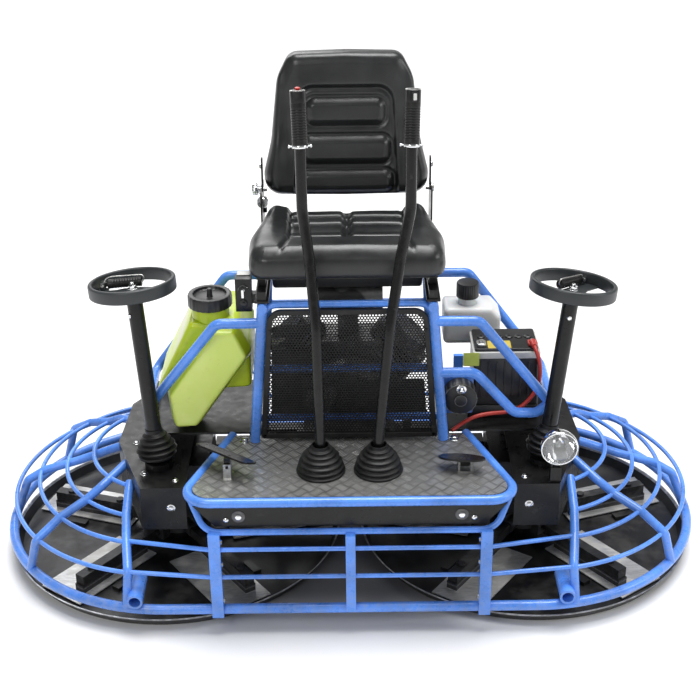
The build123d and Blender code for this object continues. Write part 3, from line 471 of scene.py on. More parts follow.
def smooth(points, steps=8):
    """A Catmull-Rom curve: between two points it is the cubic whose slopes come from their neighbours."""
    p = np.asarray(points, float)
    q = np.vstack([2 * p[:1] - p[1:2], p, 2 * p[-1:] - p[-2:-1]])
    a, b, c, d = q[:-3, None], q[1:-2, None], q[2:-1, None], q[3:, None]
    t = np.linspace(0, 1, steps, endpoint=False)[None, :, None]
    run = 0.5 * (2 * b + (c - a) * t + (2 * a - 5 * b + 4 * c - d) * t**2 + (3 * b - a - 3 * c + d) * t**3)
    return np.vstack([run.reshape(-1, p.shape[1]), p[-1:]])


def turned(profile, steps=64, flutes=0, depth=0.0, closed=False):
    """A profile of (radius, height) spun about Z; flutes pull its outer part in by up to depth."""
    r, h = np.asarray(profile, float).T
    t = np.linspace(0, 2 * np.pi, steps, endpoint=False)
    wave = depth * (0.5 - 0.5 * np.cos(flutes * t)) if flutes else 0 * t
    reach = r[:, None] - wave[None, :] * (r > 0.6 * r.max())[:, None]
    tall = np.broadcast_to(h[:, None], reach.shape)
    return lattice(np.stack([reach * np.cos(t), reach * np.sin(t), tall], -1), wrap_rows=closed)


def swept(path, radius, side=(1, 0, 0), steps=20):
    """A round bar along a path, of one radius or one for each point; its rings start near side."""
    path = np.asarray(path, float)
    w = unit(np.gradient(path, axis=0))
    side = np.asarray(side, float)
    u = unit(side - w * (w @ side)[:, None])
    v = np.cross(w, u)
    t = np.linspace(0, 2 * np.pi, steps, endpoint=False)
    ring = np.stack([np.cos(t), np.sin(t)], -1)
    size = np.broadcast_to(np.asarray(radius, float), len(path))[:, None, None]
    grid = path[:, None] + size * (ring[None, :, :1] * u[:, None] + ring[None, :, 1:] * v[:, None])
    return lattice(grid, caps=True)


def outline(corners, radius, steps=7):
    """A closed outline whose corners are arcs that touch both neighbouring sides."""
    p = np.asarray(corners, float)
    a, b = unit(np.roll(p, 1, 0) - p), unit(np.roll(p, -1, 0) - p)
    half = 0.5 * np.arccos(np.clip((a * b).sum(1), -1, 1))
    radius = np.broadcast_to(np.asarray(radius, float), len(p))
    cut, reach = (radius / np.tan(half))[:, None], (radius / np.sin(half))[:, None]
    centre = p + unit(a + b) * reach
    first, last = p + a * cut - centre, p + b * cut - centre
    turn = (np.pi - 2 * half)[:, None, None]
    t = np.linspace(0, 1, steps)[None, :, None]
    arc = (np.sin((1 - t) * turn) * first[:, None] + np.sin(t * turn) * last[:, None]) / np.sin(turn)
    return (centre[:, None] + arc).reshape(-1, 2)


def evenly(loop, count):
    """The same closed loop with its points spaced evenly along it."""
    closed = np.vstack([loop, loop[:1]])
    far = np.concatenate([[0], np.cumsum(np.linalg.norm(np.diff(closed, axis=0), axis=1))])
    s = np.linspace(0, far[-1], count, endpoint=False)
    return np.stack([np.interp(s, far, closed[:, 0]), np.interp(s, far, closed[:, 1])], -1)


def shell(loop, levels, fill=(2, 2)):
    """A loop carried through (inset, height) levels, each moved in along its own normals. The two fill numbers say
    how many rings close the low and the high end, shrinking evenly to the middle; 0 leaves an end open."""
    after = np.roll(loop, -1, 0)
    side = after - np.roll(loop, 1, 0)
    turning = np.sign((loop[:, 0] * after[:, 1] - loop[:, 1] * after[:, 0]).sum())
    inward = unit(np.stack([-side[:, 1], side[:, 0]], -1)) * turning
    inset, height = np.asarray(levels, float).T
    rings = loop[None] + inset[:, None, None] * inward[None]
    middle = loop.mean(0)
    shrink = [np.maximum(np.arange(n) / max(n, 1), 0.002)[:, None, None] for n in fill]
    low = middle + (rings[:1] - middle) * shrink[0]
    high = middle + (rings[-1:] - middle) * shrink[1][::-1]
    flat = np.concatenate([low, rings, high])
    tall = np.concatenate([np.full(fill[0], height[0]), height, np.full(fill[1], height[-1])])
    return np.concatenate([flat, np.broadcast_to(tall[:, None, None], flat.shape[:2] + (1,))], -1)


def edges(low, high, radius, steps=5):
    """Levels for shell: up the side between two quarter-round edges."""
    t = np.linspace(0, np.pi / 2, steps)
    lower = np.stack([radius * (1 - np.sin(t)), low + radius * (1 - np.cos(t))], -1)
    upper = np.stack([radius * (1 - np.cos(t)), high - radius * (1 - np.sin(t))], -1)
    return np.vstack([lower, upper])


def slab(corners, low, high, corner=3.0, edge=1.0):
    """A plate or block from a plan outline with rounded corners and edges."""
    return lattice(shell(outline(corners, corner), edges(low, high, edge)), caps=True)


def block(x, y, z, corner, edge):
    """A slab between limits."""
    return slab([(x[0], y[0]), (x[1], y[0]), (x[1], y[1]), (x[0], y[1])], z[0], z[1], corner, edge)


def moulded(corners, corner, count, levels, fill):
    """A closed moulding: an outline with evenly spaced points, carried through levels."""
    return lattice(shell(evenly(outline(corners, corner), count), levels, fill), caps=True)


def rod(radius, low, high, steps=24):
    """A plain round bar."""
    return turned([(0, low), (radius, low), (radius, high), (0, high)], steps)


def oblong(half_x, half_y):
    """Corners of an upright rectangle about the origin."""
    return [(-half_x, -half_y), (half_x, -half_y), (half_x, half_y), (-half_x, half_y)]


def hex_bolt(size, tall):
    """A washer, a hexagon head with chamfered top, and its slight dome."""
    r, wide = size / 2, 1.35 * size / 2
    head = turned([(0, 1.2), (r, 1.2), (r, tall - 1.0), (r - 1.4, tall), (0, tall + 0.3)], 6)
    ring = turned([(0, 0), (wide, 0), (wide, 1.2), (wide - 0.6, 1.6), (0, 1.6)], 28)
    return joined(head, ring)


def joined(*shapes):
    """Several shapes as one."""
    starts = np.cumsum([0] + [len(s[0]) for s in shapes[:-1]])
    return np.vstack([s[0] for s in shapes]), [f + n for s, n in zip(shapes, starts) for f in s[1]]


def piece(name, body, coat, shape, slot, stands_for=(), crease=38.0):
    """A mesh in metres from a shape in millimetres: doubles merged, faces outwards, smooth up to the crease
    angle. It rides on the body, unless that is None, and stands for frame nodes."""
    mesh = bpy.data.meshes.new(name)
    mesh.from_pydata(shape[0] * MM, [], [f for group in shape[1] for f in group.tolist()])
    work = bmesh.new()
    work.from_mesh(mesh)
    bmesh.ops.remove_doubles(work, verts=work.verts, dist=2e-6)
    bmesh.ops.recalc_face_normals(work, faces=work.faces)
    work.to_mesh(mesh)
    work.free()
    mesh.polygons.foreach_set("use_smooth", np.ones(len(mesh.polygons), bool))
    mesh.set_sharp_from_angle(angle=math.radians(crease))
    mesh.materials.append(coat)
    made = linked(name, mesh)
    if body:
        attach(made, body)
    if stands_for:
        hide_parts(*stands_for)
    return made


def fixed(name, *facts):
    """A piece that rides on the chassis."""
    return piece(name, "chassis", *facts)


# ---- finishes of the frame's own nodes ----
def coat_nodes(coat, *names):
    """Gives a frame node its finish through its object's material slots."""
    for name in names:
        for held in NODES[name].material_slots:
            held.material = coat


SIDES = (("left", -1), ("right", 1))
coat_nodes(BLUE, "guard_left", "guard_right", "guard_centre", "deck_frame", "seat_frame")
coat_nodes(BLACK, "main_beam", "gearboxes", "gearbox_covers", "front_skirt", "pitch_columns")
coat_nodes(BLACK, "seat_rails", "seat_pan", "switch_box")
coat_nodes(TREAD, "deck_plate")
coat_nodes(ENGINE, "engine", "muffler")
coat_nodes(RUBBER, "drive_belt")
coat_nodes(DARK_STEEL, "cross_shaft", "right_gimbal")
coat_nodes(ZINC, "control_brackets")
coat_nodes(CHROME, "ignition_key")
coat_nodes(LEVER_BLACK, "left_stick", "right_stick", "throttle_pedal", "kill_pedal")
for name, side in SIDES:
    coat_nodes(PAN, f"{name}_pan")
    coat_nodes(DARK_STEEL, f"{name}_spider", f"{name}_thrust_collar")
    coat_nodes(STEEL, *(f"{name}_blade_{n}" for n in range(1, 6)))

# ---- battery lead ----
battery_lead.data.materials.append(LEAD_RED)
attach(battery_lead, "chassis")
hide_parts("battery_cable")

UP_FRONT = basis((0, -1, 0))  # local X stays X, local Y is up, local Z comes forwards
ALONG_X = basis((1, 0, 0), (0, 1, 0))  # local Z runs to the right
AGAINST_X = basis((-1, 0, 0), (0, 1, 0))


# ---- seat ----
def ramp(x, low, high):
    """0 below low, 1 above high, with a smooth S between them."""
    t = np.clip((x - low) / (high - low), 0, 1)
    return t * t * (3 - 2 * t)


def groove(x, width):
    """A rounded valley of depth 1 along x = 0."""
    return np.exp(-((x / width) ** 2))


def inside(x, y, half_x, half_y, corner):
    """Distance inwards from the edge of a rounded rectangle about the origin."""
    dx, dy = half_x - np.abs(x), half_y - np.abs(y)
    out = np.hypot(np.maximum(corner - dx, 0), np.maximum(corner - dy, 0))
    return np.where((dx < corner) | (dy < corner), corner - out, np.minimum(dx, dy))


def cushion_relief(x, y):
    """Height of the seat's top over a plain crown: side bolsters rise behind the front roll, the middle panel lies
    lower with a channel down its centre and cross seams, and a crease divides panel and bolster."""
    out, line = np.abs(x), 151 + 0.26 * np.maximum(-80 - y, 0)
    panel = 1 - ramp(out, line - 12, line + 16)
    behind = ramp(y, -96, -62)
    z = -17 * panel * behind
    z += 8 * ramp(out, 160, 200) * (1 - ramp(out, 205, 250)) * ramp(y, -150, -40)
    z -= 7 * groove(out - line, 6) * ramp(y, -172, -130)
    z -= 13 * groove(x, 10) * ramp(y, -70, -46)
    for seam in (95.0, 35.0, -62.0):
        z -= 7 * groove(y - seam, 6) * panel
    z += 4 * panel * behind * np.abs(np.sin(np.pi * (y - 35) / 60))
    z -= 12 * ramp(-y, 110, 190) ** 2
    z += 0.7 * np.sin(x / 31 + y / 17) * np.sin(y / 23 - x / 41)
    return z


def seat_form():
    """A closed crowned form: the plan outline, bowed in along its sides, climbs a full edge, then shrinks to the
    middle."""
    corners = [(-252, -182), (0, -177), (252, -182), (258, -40), (235, 62)]
    corners += [(218, 168), (0, 163), (-218, 168), (-235, 62), (-258, -40)]
    plan = evenly(outline(corners, [48, 300, 48, 70, 300, 40, 300, 40, 300, 70]), 460)
    levels = [(16, 876), (7, 877.5), (2, 883), (-1, 893), (-1, 908)]
    levels += [(1, 922), (5, 935), (12, 946), (22, 953), (34, 957)]
    grid = shell(plan, smooth(levels, 3), (2, 74))
    x, y, z = np.moveaxis(grid, -1, 0)
    spread = ramp(z, 925, 956)
    crown = 6 * (1 - (x / 260) ** 2) * (1 - ((y + 10) / 190) ** 2)
    grid[..., 2] = z + spread * (crown + cushion_relief(x, y))
    return lattice(grid, caps=True)


def back_relief(x, y):
    """Depth of the backrest's face: a rounded rim, a lower middle panel inside a crease, three raised pads in it
    and wings that come forward at the sides of the waist."""
    half = 143 - 14 * np.clip(y / 297, 0, 1)
    edge = inside(x, y - 110, half, 190, 42)
    z = -10 * ramp(edge, -7, 11) - 5 * groove(edge - 3, 7)
    for middle, wide, tall in ((231, 110, 38), (126, 123, 39), (36, 131, 34)):
        pad = inside(x, y - middle, wide, tall, 27)
        z += 11 * ramp(pad, -2, 20) - 3.5 * groove(pad + 3, 6)
    z += 7 * ramp(np.abs(x), 152, 188) * (1 - ramp(y, 120, 215))
    z -= 7 * groove(np.abs(x) - 150 - 0.05 * y, 26) * ramp(y, 20, 120)
    z += 0.6 * np.sin(x / 27 - y / 33) * np.sin(y / 21 + x / 37)
    return z


def back_form():
    """The backrest as a closed form: its outline climbs from the back to a full front edge, then shrinks to the
    middle."""
    half = [(0, -3), (224, 0), (228, 62), (206, 150), (186, 322), (152, 388)]
    corners = half + [(0, 392)] + [(-x, y) for x, y in half[:0:-1]]
    loop = evenly(outline(corners, [400, 48, 60, 260, 90, 38, 500, 38, 90, 260, 60, 48]), 460)
    levels = [(8, -82), (2, -80), (0, -74), (0, -50), (0, -32), (3, -20), (9, -10), (18, -4), (30, -1)]
    grid = shell(loop, smooth(levels, 3), (2, 78))
    x, y, z = np.moveaxis(grid, -1, 0)
    grid[..., 2] = z + ramp(z, -22, -2) * (back_relief(x, y) - 2)
    return lattice(grid, caps=True)


BACK_AXES = basis((0, -390, 50))
BACK_FOOT = (0, 192, 968)
PIVOT_Y, PIVOT_Z = 205, 985  # the backrest's hinge line
cushion = piece("seat_cushion_pad", "seat", VINYL, seat_form(), "vinyl", ["seat_cushion"], 60)
back = at(back_form(), BACK_FOOT, BACK_AXES)
back_pad = piece("backrest_pad", "backrest_body", VINYL, back, "vinyl", ["backrest"], 60)


def back_shell():
    """The moulded back cover: a plate inside the outline with grooves down its back."""
    half = [(196, 16), (200, 66), (166, 316), (136, 368)]
    loop = evenly(outline([(-196, 16)] + half + [(-x, y) for x, y in half[:0:-1]], 30), 200)
    grid = shell(loop, edges(-87, -76, 4), (26, 2))
    x, y, z = np.moveaxis(grid, -1, 0)
    valleys = np.maximum.reduce([groove(x - c, 9) for c in (-90, 0, 90)])
    grid[..., 2] = z + (z < -86) * 3.5 * valleys * ramp(inside(x, y - 190, 150, 150, 30), 0, 12)
    return lattice(grid, caps=True)


back_cover = at(back_shell(), BACK_FOOT, BACK_AXES)
piece("backrest_shell", "backrest_body", CAP_BLACK, back_cover, "black_paint")
strap = slab([(-52, 30), (-26, 30), (-30, 122), (-46, 122)], -2.2, 2.2, 5)
strap_axes = np.stack([(0, 1, 0), BACK_AXES[:, 1], (1, 0, 0)], 1)
straps = [at(strap, (s * 229.5, *BACK_FOOT[1:]), strap_axes) for s in (-1, 1)]
pivots = [
    at(turned([(0, 0), (12, 0), (12, 6), (10, 8), (0, 8)], 32), (235.6, PIVOT_Y, PIVOT_Z), ALONG_X),
    at(rod(6, 0, 26), (-246, PIVOT_Y, PIVOT_Z), ALONG_X),
    at(rod(6, 0, 22), (220, PIVOT_Y, PIVOT_Z), ALONG_X),
]
piece("backrest_straps", "backrest_body", BLACK, joined(*straps), "black_paint")
piece("backrest_pivots", "backrest_body", ZINC, joined(*pivots), "chrome")
strap_bolts = [at(hex_bolt(12, 5), (s * 231.8, 156, 1070), basis((s, 0, 0), (0, 1, 0))) for s in (-1, 1)]
piece("backrest_strap_bolts", "backrest_body", CHROME, joined(*strap_bolts), "chrome")

knob = [(6.2, 0), (13, 0), (13, 7), (11, 8), (11, 9), (15, 10), (17, 13), (17, 21), (14, 25.5), (8, 25.5)]
knob = at(turned(knob + [(7, 23), (0, 23)], 60, 10, 2.0), (-236.2, PIVOT_Y, PIVOT_Z), AGAINST_X)
piece("recline_knob_chrome", "recline_knob_body", CHROME, knob, "chrome", ["recline_knob"])

housing = block((-239, -221), (180, 196), (925, 968), 4, 1.5)
lock = turned([(0, 0), (15, 0), (16.5, 2), (16.5, 12), (14, 15.5), (8, 15.5), (7, 12.5), (0, 12.5)], 48)
piece("recline_housing", "seat", CAP_BLACK, housing, "black_paint")
piece("recline_lock", "seat", CHROME, at(lock, (-232, 181, 958), UP_FRONT), "chrome")

skirt = slab([(-196, 818), (196, 818), (200, 872), (-200, 872)], 92, 95, 8)
piece("seat_base_panel", "seat", CAP_BLACK, at(skirt, axes=UP_FRONT), "black_paint")

# ---- switch box ----
SWITCH_X, SWITCH_FRONT = -271, -150.4
key_ring = turned([(4.2, -1), (13.4, -1), (13.4, 2), (12, 3.4), (8, 3.4), (7, 2.2), (4.2, 2.2)], 40, closed=True)
key_ring = at(key_ring, (SWITCH_X, SWITCH_FRONT, 838), UP_FRONT)
fixed("switch_bezel", CHROME, key_ring, "chrome")
breaker = turned([(0, 0), (10.4, 0), (10.4, 3), (8, 4.4), (5, 4.4), (4.4, 8), (0, 8.6)], 32, 8, 0.7)
breaker = at(breaker, (SWITCH_X, SWITCH_FRONT + 0.2, 800), UP_FRONT)
fixed("breaker_button", CAP_BLACK, breaker, "cap_black")
switch_plate = at(slab(oblong(17, 14), 0, 1.2, 3, 0.5), (SWITCH_X, -112, 869))
fixed("switch_plate", PALE_CASE, switch_plate, "tank_white")


# ---- control sticks ----
def stick_axis(side):
    """Foot and head of the straight top run of a stick; the right one leans out by 50 more."""
    shift = 50 if side > 0 else 0
    return np.array([side * (111 + shift), -195.0, 1232.0]), np.array([side * (115 + shift), -170.0, 1373.0])


def ridged(length, radius, first, last, pitch, depth):
    """A grip's profile: ridges of the given pitch between first and last, and rounded ends."""
    h = np.linspace(0, length, int(length * 1.4))
    ridge = depth * (0.5 + 0.5 * np.cos(2 * np.pi * (h - first) / pitch))
    ridge = ridge * ramp(h, first, first + 3) * (1 - ramp(h, last - 3, last))
    end = 2.2  # radius of the rounded ends
    ends = end * (1 - np.sqrt(np.clip(1 - (1 - np.minimum(h, length - h) / end).clip(0, 1) ** 2, 0, 1)))
    r = radius - ridge - ends
    return np.column_stack([np.append(np.insert(r, 0, 0), 0), np.append(np.insert(h, 0, 0), length)])


GRIP_RADIUS = 19.6
collar = turned([(14.4, 0), (19.8, 0), (20.6, 1.2), (20.6, 6.2), (19.8, 7.4), (14.4, 7.4)], 48, closed=True)
rim = turned([(14, 0), (19.2, 0), (19.2, 1.6), (18, 2.4), (14, 2.4)], 48, closed=True)
screw = turned([(0, 0), (2.2, 0), (2.2, 9), (4.2, 9.4), (4.2, 12), (2.5, 13.4), (0, 13.6)], 20)
for name, side in SIDES:
    low, high = stick_axis(side)
    axes = basis(high - low)
    out, up = axes[:, 0], axes[:, 2]
    reach = np.linalg.norm(high - low)
    sleeve = at(turned(ridged(reach - 13, GRIP_RADIUS, 8, 92, 6.5, 0.9), 56), low + up * 12, axes)
    head = at(slab(oblong(17.5, 20.5), 0, 30, 9, 3), low + up * (reach - 31), axes)
    body = f"{name}_stick_body"
    piece(f"{name}_stick_grip", body, GRIP_RUBBER, joined(sleeve, head), "rubber", crease=50)
    screws = [at(screw, low + up * 7 + s * out * 16, basis(s * out, (0, 0, 1))) for s in (-1, 1)]
    fittings = joined(at(collar, low + up * 3.5, axes), *screws)
    piece(f"{name}_grip_collar", body, CHROME, fittings, "chrome")
    piece(f"{name}_grip_rim", body, ZINC, at(rim, low + up * (reach - 2), axes), "grey_steel")
    if side > 0:
        face = basis((0.2, -1, 0.15))
        spot = low + up * (reach - 17) + face[:, 2] * GRIP_RADIUS
        rocker_frame = at(slab(oblong(7.5, 12), -2, 2.2, 2.5, 0.8), spot, face)
        piece("rocker_frame", body, CAP_BLACK, rocker_frame, "cap_black")
        rocker = at(slab(oblong(4.2, 8), 0, 4.2, 1.5, 1.2), spot, face)
        piece("rocker_switch", body, ROCKER, rocker, "tank_white")

button = turned([(0, -6), (5.6, -6), (5.6, 4.3), (6.6, 4.6), (6.6, 5.4), (5.6, 6.6), (3, 7), (0, 7)], 40)
button = at(button, stick_axis(-1)[1])
piece("spray_button_red", "spray_button_body", BUTTON_RED, button, "button_red", ["spray_button"])

BOOT = [(64, 0), (64, 5), (58, 9), (61, 16), (54, 22), (57, 30), (47, 36)]
BOOT += [(50, 44), (39, 49), (41, 56), (30, 60), (32, 66), (24, 69), (23.5, 78)]
FOLD_STEPS = 6
folds = smooth(BOOT, FOLD_STEPS)
SPLIT = 7 * FOLD_STEPS  # the fold at height 44, where the right boot's two halves meet
BOOT_Y, DECK_TOP = -340, 404.4


def boot(rows, x):
    """Some of the boot's folds as a closed wall 2.5 thick, standing on the deck."""
    wall = np.vstack([rows, (rows - (2.5, 0))[::-1]])
    return at(turned(wall, 72, closed=True), (x, BOOT_Y, DECK_TOP))


left_boot = piece("left_stick_boot", None, RUBBER, boot(folds, -75), "rubber", ["stick_boots"], 70)
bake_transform(left_boot)
right_skirt = piece("right_boot_skirt", None, RUBBER, boot(folds[: SPLIT + 1], 75), "rubber", (), 70)
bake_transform(right_skirt)
right_cone = piece("right_boot_cone", None, RUBBER, boot(folds[SPLIT:], 75), "rubber", (), 70)
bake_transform(right_cone)


# ---- pitch columns and handwheels ----
COLUMNS = {
    -1: np.array([(-523.0, -180.0, 355.0), (-562.0, -125.0, 843.0)]),
    1: np.array([(533.0, -180.0, 355.0), (591.0, -125.0, 825.0)]),
}


WHEEL_TURN = {-1: 0.0, 1: math.radians(49)}


def wheel_frame(side):
    """The handwheel's centre and its axes: X from the grip's hinge to its free end, Z up the column."""
    foot, head = COLUMNS[side]
    way = unit(head - foot)
    level = unit(np.array([-side, 0, 0]) - way * (-side * way[0]))
    turn = WHEEL_TURN[side]
    level = level * math.cos(turn) + np.cross(way, level) * math.sin(turn)
    return head, np.stack([level, np.cross(way, level), way], 1)


BELLOWS = [(50, 0), (52, 7), (44, 13), (56, 21), (42, 28), (51.5, 35)]
BELLOWS += [(36, 42), (43.5, 49), (29, 56), (34, 63), (24, 69), (24.5, 80)]
bellows = turned(np.vstack([smooth(BELLOWS, 6), [(21.6, 80), (21.6, 0)]]), 72, closed=True)
BOLT_FACING = {-1: unit((-0.75, -0.66, 0)), 1: unit((-0.05, -1, 0))}
WHEEL_RADIUS, WHEEL_HALF, HINGE_OUT = 115, 17.5, 82.0
ALONG_Y = basis((0, 1, 0))

column_bolt = turned([(0, -2), (5, -2), (6.5, 0), (6.5, 2), (4.5, 4.4), (0, 5.2)], 24)
rim = [(103, -WHEEL_HALF), (WHEEL_RADIUS, -WHEEL_HALF), (WHEEL_RADIUS, WHEEL_HALF), (103, WHEEL_HALF)]
rim = turned(outline(rim, [2.5, 3.5, 6.0, 4.5], 6), 120, closed=True)
bar = [(-106, -17), (-48, -17), (-26, -25), (26, -25), (48, -17), (106, -17)]
bar += [(-x, -y) for x, y in bar]
spoke = slab(bar, -WHEEL_HALF, -12.5, [4, 30, 30, 30, 30, 4] * 2, 1.2)
hub = turned([(0, -30), (20, -30), (23, -27), (23, -15), (19, -9.5), (13, -8), (0, -8)], 48)
foot = slab(oblong(14, 16), -WHEEL_HALF, -12.4, 4)
lug = at(slab(oblong(6.5, 11), -2.7, 2.7, 5, 0.8), axes=ALONG_Y)
nut = [at(hex_bolt(21, 9), (0, 0, -8.2)), turned([(0, 0), (6, 0), (6, 6), (4, 9), (0, 10)], 24)]
nut = joined(*nut, rod(7.9, -97, -29, 32))
handle = at(turned(ridged(90, 12.6, 10, 82, 7.0, 0.8), 48), (14, 0, 0), ALONG_X)
handle = joined(handle, at(slab(oblong(8, 5.6), -5.6, 5.6, 2), (8, 0, 0)))
pin = [(0, -14), (5, -13.4), (5, -11.8), (2.9, -11.8), (2.9, 11.8), (5, 11.8), (5, 13.4), (0, 14)]
wire = [(4, 4, 3), (10, 8, 12), (24, 9, 16.5), (60, 7, 17), (98, 4, 17)]
wire += [(108, 2, 14), (109.5, 0.5, 6), (106, 0, 0), (101, 0, 0)]
bail = joined(at(turned(pin, 24), axes=ALONG_Y), swept(smooth(wire, 8), 1.6, (0, 1, 0.05), 12))

boots, column_bolts = [], []
for name, side in SIDES:
    head, axes = wheel_frame(side)
    up, facing = axes[:, 2], BOLT_FACING[side]
    boots.append(at(bellows, COLUMNS[side][0] + up * 6, axes))
    column_bolts.append(at(column_bolt, head - up * 78 + facing * 20.5, basis(facing, (0, 0, 1))))
    hinge = np.array([-HINGE_OUT, -side * 28.0, 1.5])
    lugs = [at(lug, (hinge[0], hinge[1] + s * 9, -2.6)) for s in (-1, 1)]
    wheel = at(joined(rim, spoke, hub, at(foot, (hinge[0], hinge[1], 0)), *lugs), head, axes)
    body, grip_body = f"{name}_handwheel_body", f"{name}_grip_body"
    piece(f"{name}_handwheel_moulding", body, WHEEL, wheel, "wheel_plastic", [f"{name}_handwheel"], 40)
    piece(f"{name}_wheel_nut", body, CHROME, at(nut, head, axes), "chrome")
    grip = at(at(handle, hinge), head, axes)
    piece(f"{name}_crank_handle", grip_body, GRIP_RUBBER, grip, "rubber", [f"{name}_crank_grip"], 50)
    piece(f"{name}_grip_bail", grip_body, ZINC, at(at(bail, hinge), head, axes), "chrome")

fixed("column_bellows", RUBBER, joined(*boots), "rubber", ["column_boots"], 70)
fixed("column_bolts", CHROME, joined(*column_bolts), "chrome")


# ---- perforated screen ----
SCREEN_FRONT = 183.2


def screen_sheet(pitch=8.2, hole=2.75):
    """Honeycomb of round holes: each hexagonal cell is six five-sided faces between its edge and its twelve-sided
    hole. Cells stay within the panel's sloping sides and rounded top corners."""
    rise = pitch * math.sqrt(3) / 2
    i, j = np.meshgrid(np.arange(-31, 32), np.arange(0, 54))
    x, y = (i + 0.5 * (j % 2)) * pitch, 421 + j * rise
    half = 238 - (y - 415) * 30 / 380 - 8
    corner = np.hypot(np.maximum(np.abs(x) - 168, 0), np.maximum(y - 755, 0)) < 34
    keep = (np.abs(x) < half) & (y < 789) & (corner | (y < 755) | (np.abs(x) < 168))
    centre = np.stack([x[keep], y[keep]], -1)
    turn = (np.arange(12) + 1) * np.pi / 6
    ray = np.stack([np.cos(turn), np.sin(turn)], -1)
    rim = centre[:, None] + ray[::2] * pitch / math.sqrt(3)
    spots = np.concatenate([rim, centre[:, None] + ray * hole], 1)
    k = np.arange(6)
    cell = np.stack([k, (k + 1) % 6, 6 + (2 * k + 2) % 12, 6 + 2 * k + 1, 6 + 2 * k], -1)
    faces = (cell[None] + 18 * np.arange(len(centre))[:, None, None]).reshape(-1, 5)
    flat = spots.reshape(-1, 2)
    return np.column_stack([flat, np.full(len(flat), SCREEN_FRONT)]), [faces]


panel = outline([(-238, 415), (238, 415), (208, 795), (-208, 795)], [6, 6, 40, 40], 12)
levels = [(0.8, 178), (0, 178.8), (0, 189.2), (0.8, 190), (13, 190), (14, 189), (14, 179), (13, 178)]
border = at(lattice(shell(panel, levels, (0, 0)), wrap_rows=True), axes=UP_FRONT)
fixed("screen_border", SCREEN_BLACK, border, "dark_mesh", ["mesh_guard"])
screen = at(screen_sheet(), axes=UP_FRONT)
screen = fixed("screen_sheet", SCREEN_BLACK, screen, "dark_mesh")
wall = screen.modifiers.new("sheet", "SOLIDIFY")
wall.thickness, wall.offset = 1.2 * MM, 0.0
spots = [(s * x, -190, z) for s in (-1, 1) for x, z in ((226, 445), (203, 735))]
screen_bolts = [at(hex_bolt(9, 3.6), spot, UP_FRONT) for spot in spots]
fixed("screen_bolts", SCREEN_BLACK, joined(*screen_bolts), "chrome")

cowls = joined(
    slab([(-214, 432), (-100, 432), (-100, 640), (-206, 640)], 96, 99, 8, 0.8),
    slab([(104, 432), (214, 432), (206, 545), (104, 545)], 96, 99, 8, 0.8),
    slab([(-206, 652), (-60, 668), (-60, 700), (-206, 690)], 60, 63, 8, 0.8),
)
fixed("engine_cowls", BLACK, at(cowls, axes=UP_FRONT), "black_paint")

# ---- tanks ----
TANK_BODY = [(-424, 718), (-300, 718), (-264, 658), (-264, 524), (-512, 509), (-522, 524)]
TANK_FACE = [(-352, 712), (-303, 711), (-272, 640), (-416, 434), (-472, 430), (-482, 526)]
NECK_AT, SPOUT_AT = (-370, -45), (338, 128)
tub = moulded(TANK_BODY, [16, 16, 16, 16, 7, 9], 260, edges(-125, 100, 14), (10, 10))
face_levels = [(-13, 20), (-13, 104), (-12.4, 108), (-10.5, 113), (-3.2, 139), (-1, 145), (3, 149), (8, 150)]
lobe = moulded(TANK_FACE, 10, 260, face_levels, (2, 12))
neck = turned([(42, 710), (50, 710), (50, 749), (49, 751), (46.5, 752), (46.5, 766), (42, 766)], 72, closed=True)
tank = joined(at(joined(tub, lobe), axes=UP_FRONT), at(neck, (*NECK_AT, 0)))
fixed("water_tank_moulding", TANK, tank, "tank_yellow", ["water_tank"], 45)
cap = [(0, 803), (53, 803), (53, 786.5), (59.6, 786.5), (60, 789), (60, 812), (57.5, 818.5), (52, 820), (46, 818.5)]
cap += [(43, 812), (38, 809.5), (9, 809.5), (7.5, 812), (6.8, 829), (5, 832), (0, 832)]
cap = at(turned(cap, 96, 24, 1.3), (*NECK_AT, -35))
piece("water_cap_moulding", "water_cap_body", CAP_BLACK, cap, "cap_black", ["water_cap"])

FUEL_SIDE = [(269, 559), (430, 559), (430, 640), (405, 668), (269, 668)]
can = moulded(FUEL_SIDE, 14, 200, edges(-185, -80, 13), (8, 8))
spout = turned([(22, 660), (26, 660), (26, 702), (25, 705.6), (22, 705.6)], 48, closed=True)
can = joined(at(can, axes=UP_FRONT), at(spout, (*SPOUT_AT, 0)))
fixed("fuel_tank_moulding", FUEL, can, "tank_white", ["fuel_tank"], 45)
lid = [(0, 709), (26.6, 709), (26.6, 688), (31.4, 688), (32, 690), (32, 727), (30, 731), (26, 732), (0, 731)]
lid = at(turned(lid, 96, 32, 1.0), (*SPOUT_AT, 0))
piece("fuel_cap_moulding", "fuel_cap_body", CAP_BLACK, lid, "cap_black", ["fuel_cap"])
patch = at(block((312, 356), (572, 612), (79.4, 80.8), 3, 0.4), axes=UP_FRONT)
fixed("fuel_patch", PATCH, patch, "tank_yellow")

# ---- battery ----
ribs = [block((x, x + 5), (-62.4, -58), (466, 574), 1.5, 1) for x in range(360, 516, 22)]
tray = block((330, 525), (-66, 78), (402.3, 440), 6, 2)
case = joined(block((344, 525), (-60, 72), (439, 585), 7, 3), tray, *ribs)
fixed("battery_case", CASE, case, "battery_case", ["battery"])
